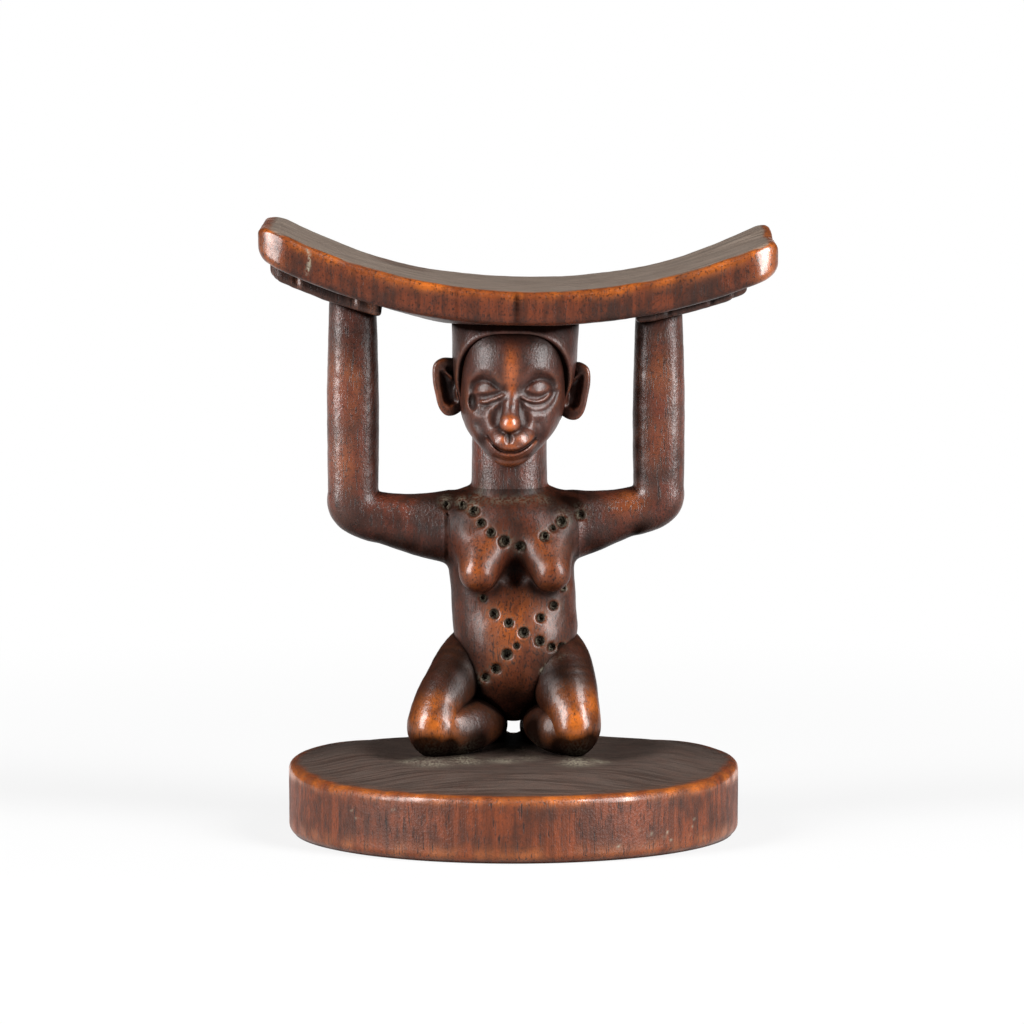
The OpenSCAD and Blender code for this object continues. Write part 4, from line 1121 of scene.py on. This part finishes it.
def ear_carver(side):
    shift_x, shift_z = RIGHT_EAR_SHIFT if side > 0 else (0.0, 0.0)

    def depth(x, y, z):
        a, b = -side * (x - shift_x), z - shift_z
        into = inset(a[:, 0, :], b[0, 0, :][None, :], EAR)[:, None, :]
        out = np.clip((-a - 13.5) / 7.0, 0, 1)
        front = EAR_FRONT + 1.5 * (1 - out) ** 2 - 0.4 * out
        cup = ledge(into - 1.5, 2.0) * 1.6
        flap = line_gap(a[:, 0, :], b[0, 0, :][None, :], EAR_FLAP)[:, None, :]
        cup = cup - 1.3 * np.exp(-(flap / 0.75) ** 2) * (cup > 0)
        lobe = np.hypot((a + 16.6) / 2.6, (b - 111.6) / 1.7)
        cup = cup - 1.2 * np.exp(-lobe ** 4) * (cup > 0)
        tragus = np.hypot((a + 14.6) / 0.8, (b - 116.4) / 1.6)
        cup = np.maximum(cup - 1.6 * np.exp(-tragus ** 2), 0)
        wall = np.maximum(front + cup - y, y - EAR_BACK)
        r = 0.75
        p, q = r - into, wall + r
        return np.minimum(np.maximum(p, q), 0) + np.hypot(np.maximum(p, 0), np.maximum(q, 0)) - r

    def carver(block):
        ends = sorted((side * 10, side * 22))
        block.join(((ends[0], -6, 109), (ends[1], 0, 126), depth), 0.0)
    return carver


for side, word in zip(SIDES, ("left", "right")):
    ends = sorted((side * 9, side * 24))
    ear = carved_piece(word + "_carved_ear", (ends[0], -9, 107), (ends[1], 6, 128), 0.24,
        ear_carver(side), 0.06, 35)
    finish(ear, word + "_ear", oiled_face)

# Years of use left their marks. What stands proud was rubbed bright by hands, cloth and oil, and pale dust
# lies in the pits and the creases. Hollows and the places under and between parts are darkened with painted
# shade, along with some grime and soot.
# Each rubbed spot: x, y, z, radius and strength.
RUBBED = [
    # Lap, legs and the land.
    (-21, -21.5, 31.5, 6.5, 1.0), (16, -21.5, 32, 7.0, 1.0), (21, -17, 35, 4.5, 0.8),
    (-18, -20, 36, 3.5, 0.5), (-2, -14, 47, 7, 0.5),
    # Breasts, belly and neck.
    (-9.5, -19, 71, 5.0, 0.65), (10.2, -19, 71, 4.5, 0.5), (-8.5, -15, 77, 5.5, 0.4),
    (8.5, -15, 77, 5, 0.35), (1, -14, 56, 9, 0.55), (-4, -14, 58, 6, 0.5),
    # Arms.
    (30, -7, 88, 5, 0.5), (36, -7, 122, 9, 0.5), (35, -7, 104, 7, 0.4), (-44, -7, 118, 9, 0.5),
    (-45, -7, 98, 7, 0.4),
    # Face and ears.
    (-0.9, -23, 109.5, 2.8, 0.85), (-1, -23, 101, 5, 0.5), (-7.4, -20, 108.4, 2.2, 0.7),
    (-3.5, -22, 105.6, 1.8, 0.8), (2.5, -22, 106, 1.8, 0.8), (-11.5, -17, 111, 2.0, 0.5),
    (11.5, -17, 111.5, 2.0, 0.4), (6.5, -20, 117, 2.5, 0.5), (6.0, -20, 109.0, 2.2, 0.6),
    (-16.5, -5, 113, 2, 0.6), (14.5, -5, 113, 2, 0.6)]
# A bright band down the forehead. Along the edge of the hair and at the left temple, the rubbed light line
# is partly a painted highlight.
RUBBED += [(-0.6, -19, z, 1.9, 0.65) for z in range(118, 134, 2)]
RUBBED += [(x, -17.5, 133.4, 1.2, 0.5) for x in range(-2, 11, 2)] + [(-14, -15, 128.5, 1.8, 0.8)]
# Each dark spot, in the same way; most are painted shade, under the knees, shins and upper arms, between the
# thighs and the breasts, and beside the nose and the jaw. Over a strength of 1 it is black for a wider
# stretch.
SHADE_AND_SOOT_SPOTS = [
    # Lap, legs and the land.
    (-14, -12, 45, 8, 0.8), (-20, -8, 44, 6, 0.5), (12, -14, 44, 7, 0.8), (20, -8, 46, 6, 0.5),
    (-22, -20.5, 23.4, 5.0, 2.4), (-18, -20, 23.0, 4.5, 2.2), (18, -20.5, 23.6, 5.2, 2.4),
    (14, -20, 23.2, 5.0, 2.2), (-11, -15, 25.0, 4.5, 1.8), (7, -13, 28, 5, 1.6), (-9, -12, 40, 4, 0.5),
    (0, -11, 36, 9, 0.8),
    # Breasts, belly and neck.
    (0.4, -11, 70, 5, 0.8), (15, -7, 88, 8, 1.0), (-17, -7, 90, 8, 1.0), (-1, -9, 87.5, 6, 0.6),
    (0.5, -11, 83, 4, 0.3), (-12, -4, 58, 3, 0.3),
    # Arms.
    (-21, -4, 74.0, 8, 0.8), (-27, -4, 75, 8, 0.8), (-33, -4, 76.5, 8, 0.8), (-40, -5, 78, 8, 0.7),
    (-36, -7, 93, 6, 0.45), (-36, -6, 128, 9, 0.5), (39, -5, 79, 8, 0.7), (34, -4, 77.5, 8, 0.8),
    (28, -4, 76, 8, 0.8), (22, -4, 74.5, 8, 0.8), (46, -6, 126, 8, 0.45), (44, -7, 98, 7, 0.35),
    (26, -6, 92, 7, 0.3), (-26, -6, 92, 7, 0.3),
    # Face and ears.
    (-7.2, -19, 118.6, 2.6, 0.9), (6.2, -19, 120, 2.0, 0.5), (-9.4, -17, 104.8, 2.8, 1.0),
    (8.2, -17, 105.4, 2.8, 1.0), (-4.3, -19, 111.5, 1.7, 0.8), (3.0, -19, 111.5, 1.7, 0.8),
    (-2.6, -18.5, 118, 1.4, 0.8), (1.9, -18.5, 118, 1.4, 0.8), (-7, -18.5, 112.6, 1.6, 0.7),
    (7.4, -18.5, 111.8, 2.0, 0.5), (0.4, -16, 98, 4, 0.4), (-10.6, -19, 114.2, 1.4, 0.8),
    (-7.6, -19, 121.6, 2.0, 0.9), (6.6, -19, 122, 2.0, 0.9), (-10.8, -18, 119.5, 1.6, 0.8),
    (11.2, -18, 119.5, 1.6, 0.8)]
# Darkening down the inner sides of the forearms, and two cracks in the pillow's front.
SHADE_AND_SOOT_SPOTS += [(-35.4, -4.0, z, 5.0, 0.72) for z in range(94, 138, 2)]
SHADE_AND_SOOT_SPOTS += [(31.8, -4.0, z, 4.6, 0.72) for z in range(96, 136, 2)]
SHADE_AND_SOOT_SPOTS += [(0.9, -30, z, 0.8, 0.9) for z in np.arange(135, 145, 0.8)]
SHADE_AND_SOOT_SPOTS += [(-14.6, -30, z, 0.5, 0.5) for z in np.arange(136, 146, 0.8)]
# Each dusty spot, in the same way.
DUSTY = [
    # Lap, legs and the land.
    (-3, -17, 22, 4, 0.6), (4, -14, 23, 3, 0.5), (22.5, -19, 21.5, 2.5, 0.7), (-27, -19, 21.5, 3, 0.5),
    (17, -23, 21.5, 4.5, 0.55), (-21, -24, 21.5, 4.5, 0.45), (-12, -19, 22, 4, 0.5), (0, -5, 24, 4, 0.3),
    (-11, -17, 36.5, 2.5, 0.3),
    # Breasts, belly and neck.
    (8, -9, 90.5, 2.5, 0.35), (-10, -8, 90.5, 2.5, 0.3)]
# The crease round the neck, the creases between belly and thighs, a scratch on the pillow, the pits.
DUSTY += [(x, -9.6, 88.0 + 0.03 * (x + 1) ** 2, 1.5, 0.14) for x in range(-9, 9)]
DUSTY += [(-15 + 1.1 * i, -13, 50.5 - 1.7 * i, 0.9, 0.5) for i in range(5)]
DUSTY += [(17 - 1.6 * i, -13, 50.8 - 1.1 * i, 0.9, 0.5) for i in range(7)]
DUSTY += [(-52.4 - 0.06 * (z - 152.4) ** 2, -30, z, 0.42, 0.8) for z in np.arange(149, 156, 0.4)]
DUSTY += [(TORSO_X + x, front_at(trunk, TORSO_X + x, z), z, 1.25 * r, 0.55) for x, z, r in PITS]
# The edges of the knuckle cuts are rubbed light.
KNUCKLE_RUB = [(x, -11.0, underside_z(x, low), 1.5, 0.95) for x in (-41.6, -56.3, -37.0)
    for low in (0.8, 2.4, 4.0)]


def close_to(points, spots):
    """How strongly each point is marked by its nearest spots."""
    total = np.zeros(len(points))
    for *place, radius, strength in spots:
        gap = np.linalg.norm(points - np.array(place), axis=1) / radius
        total = np.maximum(total, strength * np.exp(-gap ** 2))
    return total


def vectors_of(rows, key):
    """The points or normals of a mesh as rows of x, y and z."""
    flat = np.zeros(len(rows) * 3, np.float32)
    rows.foreach_get(key, flat)
    return flat.reshape(-1, 3).astype(float)


def set_mark(mesh, key, values):
    """Keeps how strongly each point is marked, from 0 to 1, where the material reads it."""
    have = mesh.attributes.get(key) or mesh.attributes.new(key, "FLOAT", "POINT")
    have.data.foreach_set("value", np.clip(values, 0, 1).astype(np.float32))


ground = Block(WHOLE_LOW, WHOLE_HIGH, WHOLE_PITCH)
gx, gy, gz = np.meshgrid(*ground.axes, indexing="ij", sparse=True)
slope = np.clip((FLAT_R - np.hypot(gx, gy)) / (FLAT_R - LAND_R), 0, 1)
ground_z = BASE_H + LAND_RISE * (0.5 - 0.5 * np.cos(math.pi * slope))
whole.depth = np.minimum(whole.depth, (gz - ground_z).astype(np.float32))


def shaded(points, normals):
    """How closed in each point is, from 0 in the open to 1 in a deep hollow."""
    total = np.zeros(len(points))
    for reach, weight in ((1.6, 0.30), (3.2, 0.35), (6.0, 0.35)):
        free = sampled(whole.depth, whole, points + normals * reach) / reach
        total += weight * np.clip(1 - free, 0, 1)
    return np.clip((total - 0.12) / 0.6, 0, 1)


# The land swells up to the knees and shins, where the gouge couldn't reach, and a web of wood stands
# between the legs. The base's top is dished: it rises again towards the sides and the back.
SWELL = 5.0
SWELL_HIGH = 1.5
WEB_X = 0.2
WEB_W = 5.0
WEB_HIGH = 2.4
DISHED = 1.9
LEGS_HIGH = (70, 44, 40)
base_points = vectors_of(base.data.vertices, "co") / MM
base_x, base_y, base_z = base_points.T
on_top = base_z > BASE_H - 0.5
near_legs = (np.abs(base_x) < 40) & (base_y > -34) & (base_y < 42) & on_top
legs_only = Block(WHOLE_LOW, LEGS_HIGH, WHOLE_PITCH)
for side in SIDES:
    for maker in (thigh_carver(side), lower_leg_carver(side), foot_carver(side)):
        part = Block(WHOLE_LOW, LEGS_HIGH, WHOLE_PITCH)
        maker(part)
        legs_only.depth = np.minimum(legs_only.depth, part.depth)
probe = base_points[near_legs].copy()
probe[:, 2] = LAND_Z + 1.0
lift = np.zeros(len(base_points))
lift[near_legs] = SWELL_HIGH * np.clip(1 - sampled(legs_only.depth, legs_only, probe) / SWELL, 0, 1) ** 2.2
web = WEB_HIGH * np.exp(-((base_x - WEB_X) / WEB_W) ** 2)
web *= ledge(base_y + 17, 14) * np.clip((30 - base_y) / 12, 0, 1)
dish = DISHED * ledge(np.abs(base_x) - 22, 28) * ledge(base_y + 38, 38) * np.clip(base_z / BASE_H, 0, 1)
base_z += lift + np.where(on_top, web, 0) + dish
base.data.vertices.foreach_set("co", (base_points * MM).astype(np.float32).ravel())
base.data.update()

# The base's rim was rubbed as it was set down and moved, and its top is dulled up to the rim.
base_radius = np.hypot(base_x, base_y)
wander = unevenness(base_points, 7.0, 41)
lip = np.clip((base_radius - (BASE_R - 3.6) - 0.7 * wander) / 1.6, 0, 1)
set_mark(base.data, "dulled", np.clip((base_z - (BASE_H - 1.6) + 0.3 * wander) / 0.8, 0, 1) * (1 - lip))
edge_rub = np.exp(-((base_z - (BASE_H - 0.9)) / 1.5) ** 2) * (base_radius > BASE_R - 6)
low_rub = 0.4 * np.exp(-((base_z - 2.2) / 2.2) ** 2) * (base_radius > BASE_R - 4)
set_mark(base.data, "worn", np.maximum(edge_rub, low_rub) * (0.8 + 0.45 * wander))
# Painted shade: on the land where the legs meet it, and along the bottom of the side where the base stands
# on the floor.
base_shade = np.zeros(len(base_points))
touching = sampled(legs_only.depth, legs_only, base_points[near_legs])
base_shade[near_legs] = np.clip(1 - touching / 3.0, 0, 1) * 0.6
foot_edge_shade = np.clip(1 - base_z / 0.9, 0, 1) * (base_radius > BASE_R - 8)
set_mark(base.data, "hollow", np.maximum(base_shade, foot_edge_shade))
# Flecks of paint or dust on the rim: a spread of small ones at the right, and three at the left.
chance = np.random.default_rng(8)
SPRAY = 12
FLECKS = list(zip(chance.normal(41, 6, SPRAY), chance.uniform(2, 9, SPRAY),
    chance.uniform(0.25, 0.6, SPRAY), [1.3] * SPRAY))
FLECKS += [(x, z, 0.35, 1.0) for x, z in ((-42, 11.5), (-40.6, 9.8), (-31, 13))]
FLECKED = [(x, -math.sqrt(BASE_R ** 2 - x * x), z, r, strength) for x, z, r, strength in FLECKS]
set_mark(base.data, "dust", close_to(base_points, DUSTY + FLECKED))

# The pillow's top is dulled by years of heads, with a pale grey-brown that is partly painted sheen, and its
# upper edges and front corners are rubbed.
pillow_points = vectors_of(pillow.data.vertices, "co") / MM
pillow_run = np.abs(pillow_points[:, 0] - PILLOW_X)
up = pillow_up(pillow_points[:, 0], pillow_points[:, 2])
wander = unevenness(pillow_points, 8.0, 43)
from_edge = np.minimum(PILLOW_W / 2 - np.abs(pillow_points[:, 1]), 66 - pillow_run)
open_top = np.clip((from_edge - 1.1 - 0.3 * wander) / 0.7, 0, 1)
set_mark(pillow.data, "dulled", np.clip((up - (PILLOW_T - 0.9)) / 0.5, 0, 1) * open_top)
edge_rub = np.exp(-((up - PILLOW_T + 0.6) / 1.8) ** 2) * 0.9 * np.clip(1 - (from_edge - 1) / 2, 0, 1)
corner_rub = 0.75 * np.exp(-((pillow_run - 64.0) / 3.0) ** 2) * (pillow_points[:, 1] < -20)
set_mark(pillow.data, "worn", np.maximum(edge_rub * (0.75 + 0.35 * wander), corner_rub))

# Every other member is marked by the spots and by its own hollows and ridges: closed-in places, grooves and
# dark spots get painted shade, with some grime, in the hollow mark.
for piece, node in members[1:]:
    points = vectors_of(piece.data.vertices, "co") / MM
    shade = shaded(points, vectors_of(piece.data.vertex_normals, "vector"))
    ridge = np.zeros(len(points), np.float32)
    piece.data.attributes["ridge"].data.foreach_get("value", ridge)
    groove = np.clip(-ridge / 0.35, 0, 1)
    proud = np.clip(ridge / 0.3, 0, 1)
    knuckles = close_to(points, KNUCKLE_RUB)
    if node != "pillow":
        rubbed = np.maximum(0.3 * proud, close_to(points, RUBBED)) * (1 - shade)
        set_mark(piece.data, "worn", np.maximum(rubbed, knuckles))
    dusty = close_to(points, DUSTY) * (0.15 if node.endswith(("leg", "thigh")) else 1.0)
    shade_and_soot = close_to(points, SHADE_AND_SOOT_SPOTS) * (1.0 + 0.2 * unevenness(points, 6.0, 45))
    # Painted shade: darker the more closed in a point is, in grooves, and at the dark spots.
    dark = np.maximum(np.maximum(shade ** 1.5, groove * 0.8), shade_and_soot)
    if node.endswith(("ear", "hand")):
        dark = dark * 0.65 * (1 - knuckles)
    set_mark(piece.data, "hollow", dark * (1 - 0.6 * dusty))
    set_mark(piece.data, "dust", dusty)
    piece.data.attributes.remove(piece.data.attributes["ridge"])

# The studio: a white table that runs out of sight, a low white wall far behind for the gloss to
# mirror, two large soft lamps at the sides, and a long lens a little above the pillow.
TABLE_R = 14.0
# The paper takes the object's shadow near it, and is plain white for the eye further out.
NEAR_PAPER = 0.12
FAR_PAPER = 0.45
NEAR_GLOW = 0.8
paper = bpy.data.materials.new("white_paper_sweep")
paper.use_nodes = True
tree = paper.node_tree
tree.nodes.clear()
rays = tree.nodes.new("ShaderNodeLightPath").outputs
seen = total_of(tree, rays["Is Camera Ray"], (rays["Is Glossy Ray"], 1.0),
    (rays["Is Transmission Ray"], 1.0))
where = put(tree, "ShaderNodeTexCoord", {}, (), "Object")
from_middle = put(tree, "ShaderNodeVectorMath", {"operation": "LENGTH"}, [where], "Value")
own_glow = put(tree, "ShaderNodeMapRange", {"interpolation_type": "SMOOTHSTEP"}, {"Value": from_middle,
    "From Min": NEAR_PAPER, "From Max": FAR_PAPER, "To Min": NEAR_GLOW})
share = put(tree, *TIMES_KEPT, [seen, own_glow])
matt_paper = put(tree, "ShaderNodeBsdfDiffuse", {}, {"Color": tone("#a8a8a8")})
glow = put(tree, "ShaderNodeEmission", {}, {"Color": tone("#ffffff"), "Strength": 1.0})
lit_paper = put(tree, "ShaderNodeMixShader", {}, [share, matt_paper, glow])
put(tree, "ShaderNodeOutputMaterial", {}, {"Surface": lit_paper})
sweep = bmesh.new()
bmesh.ops.create_circle(sweep, cap_ends=True, segments=96, radius=TABLE_R)
sweep_mesh = bpy.data.meshes.new("paper_sweep")
sweep.to_mesh(sweep_mesh)
sweep.free()
floor = bpy.data.objects.new("paper_sweep", sweep_mesh)
bpy.context.scene.collection.objects.link(floor)
floor.data.materials.append(paper)
wall_mesh = bpy.data.meshes.new("paper_wall")
wall_mesh.from_pydata([(-1.2, 8, 0), (1.2, 8, 0), (1.2, 8, 0.6), (-1.2, 8, 0.6)], [], [(0, 1, 2, 3)])
wall = bpy.data.objects.new("paper_wall", wall_mesh)
bpy.context.scene.collection.objects.link(wall)
wall.data.materials.append(paper)


def soft_lamp(name, azimuth, elevation, distance, width, height, watts):
    """A softbox that faces the middle of the object. Azimuth 0 is the camera's side."""
    a, e = math.radians(azimuth), math.radians(elevation)
    middle = Vector((0, 0, 0.08))
    place = middle + distance * Vector((math.sin(a) * math.cos(e), -math.cos(a) * math.cos(e), math.sin(e)))
    light = bpy.data.lights.new(name, "AREA")
    light.shape = "RECTANGLE"
    light.size, light.size_y, light.energy = width, height, watts
    lamp = bpy.data.objects.new(name, light)
    lamp.location = place
    lamp.rotation_euler = (middle - place).to_track_quat("-Z", "Y").to_euler()
    bpy.context.scene.collection.objects.link(lamp)


soft_lamp("left_softbox", -60, 25, 1.4, 0.55, 1.45, 58.0)
soft_lamp("right_softbox", 58, 25, 1.4, 0.55, 1.45, 68.0)
world = bpy.data.worlds.new("studio_air")
bpy.context.scene.world = world
world.use_nodes = True
air = world.node_tree.nodes["Background"]
air.inputs["Color"].default_value = tone("#f2f2f2")
air.inputs["Strength"].default_value = 0.06

camera_data = bpy.data.cameras.new("long_lens")
camera_data.lens = 242.76
camera_data.sensor_width = 36.0
camera_data.clip_end = 100.0
camera = bpy.data.objects.new("long_lens", camera_data)
camera.location = Vector((-0.39, -1800.0, 269.21)) * MM
aim = Vector((-0.39, 0.0, 84.33)) * MM
camera.rotation_euler = (aim - camera.location).to_track_quat("-Z", "Y").to_euler()
bpy.context.scene.collection.objects.link(camera)
bpy.context.scene.camera = camera
bpy.context.scene.view_settings.view_transform = "Standard"
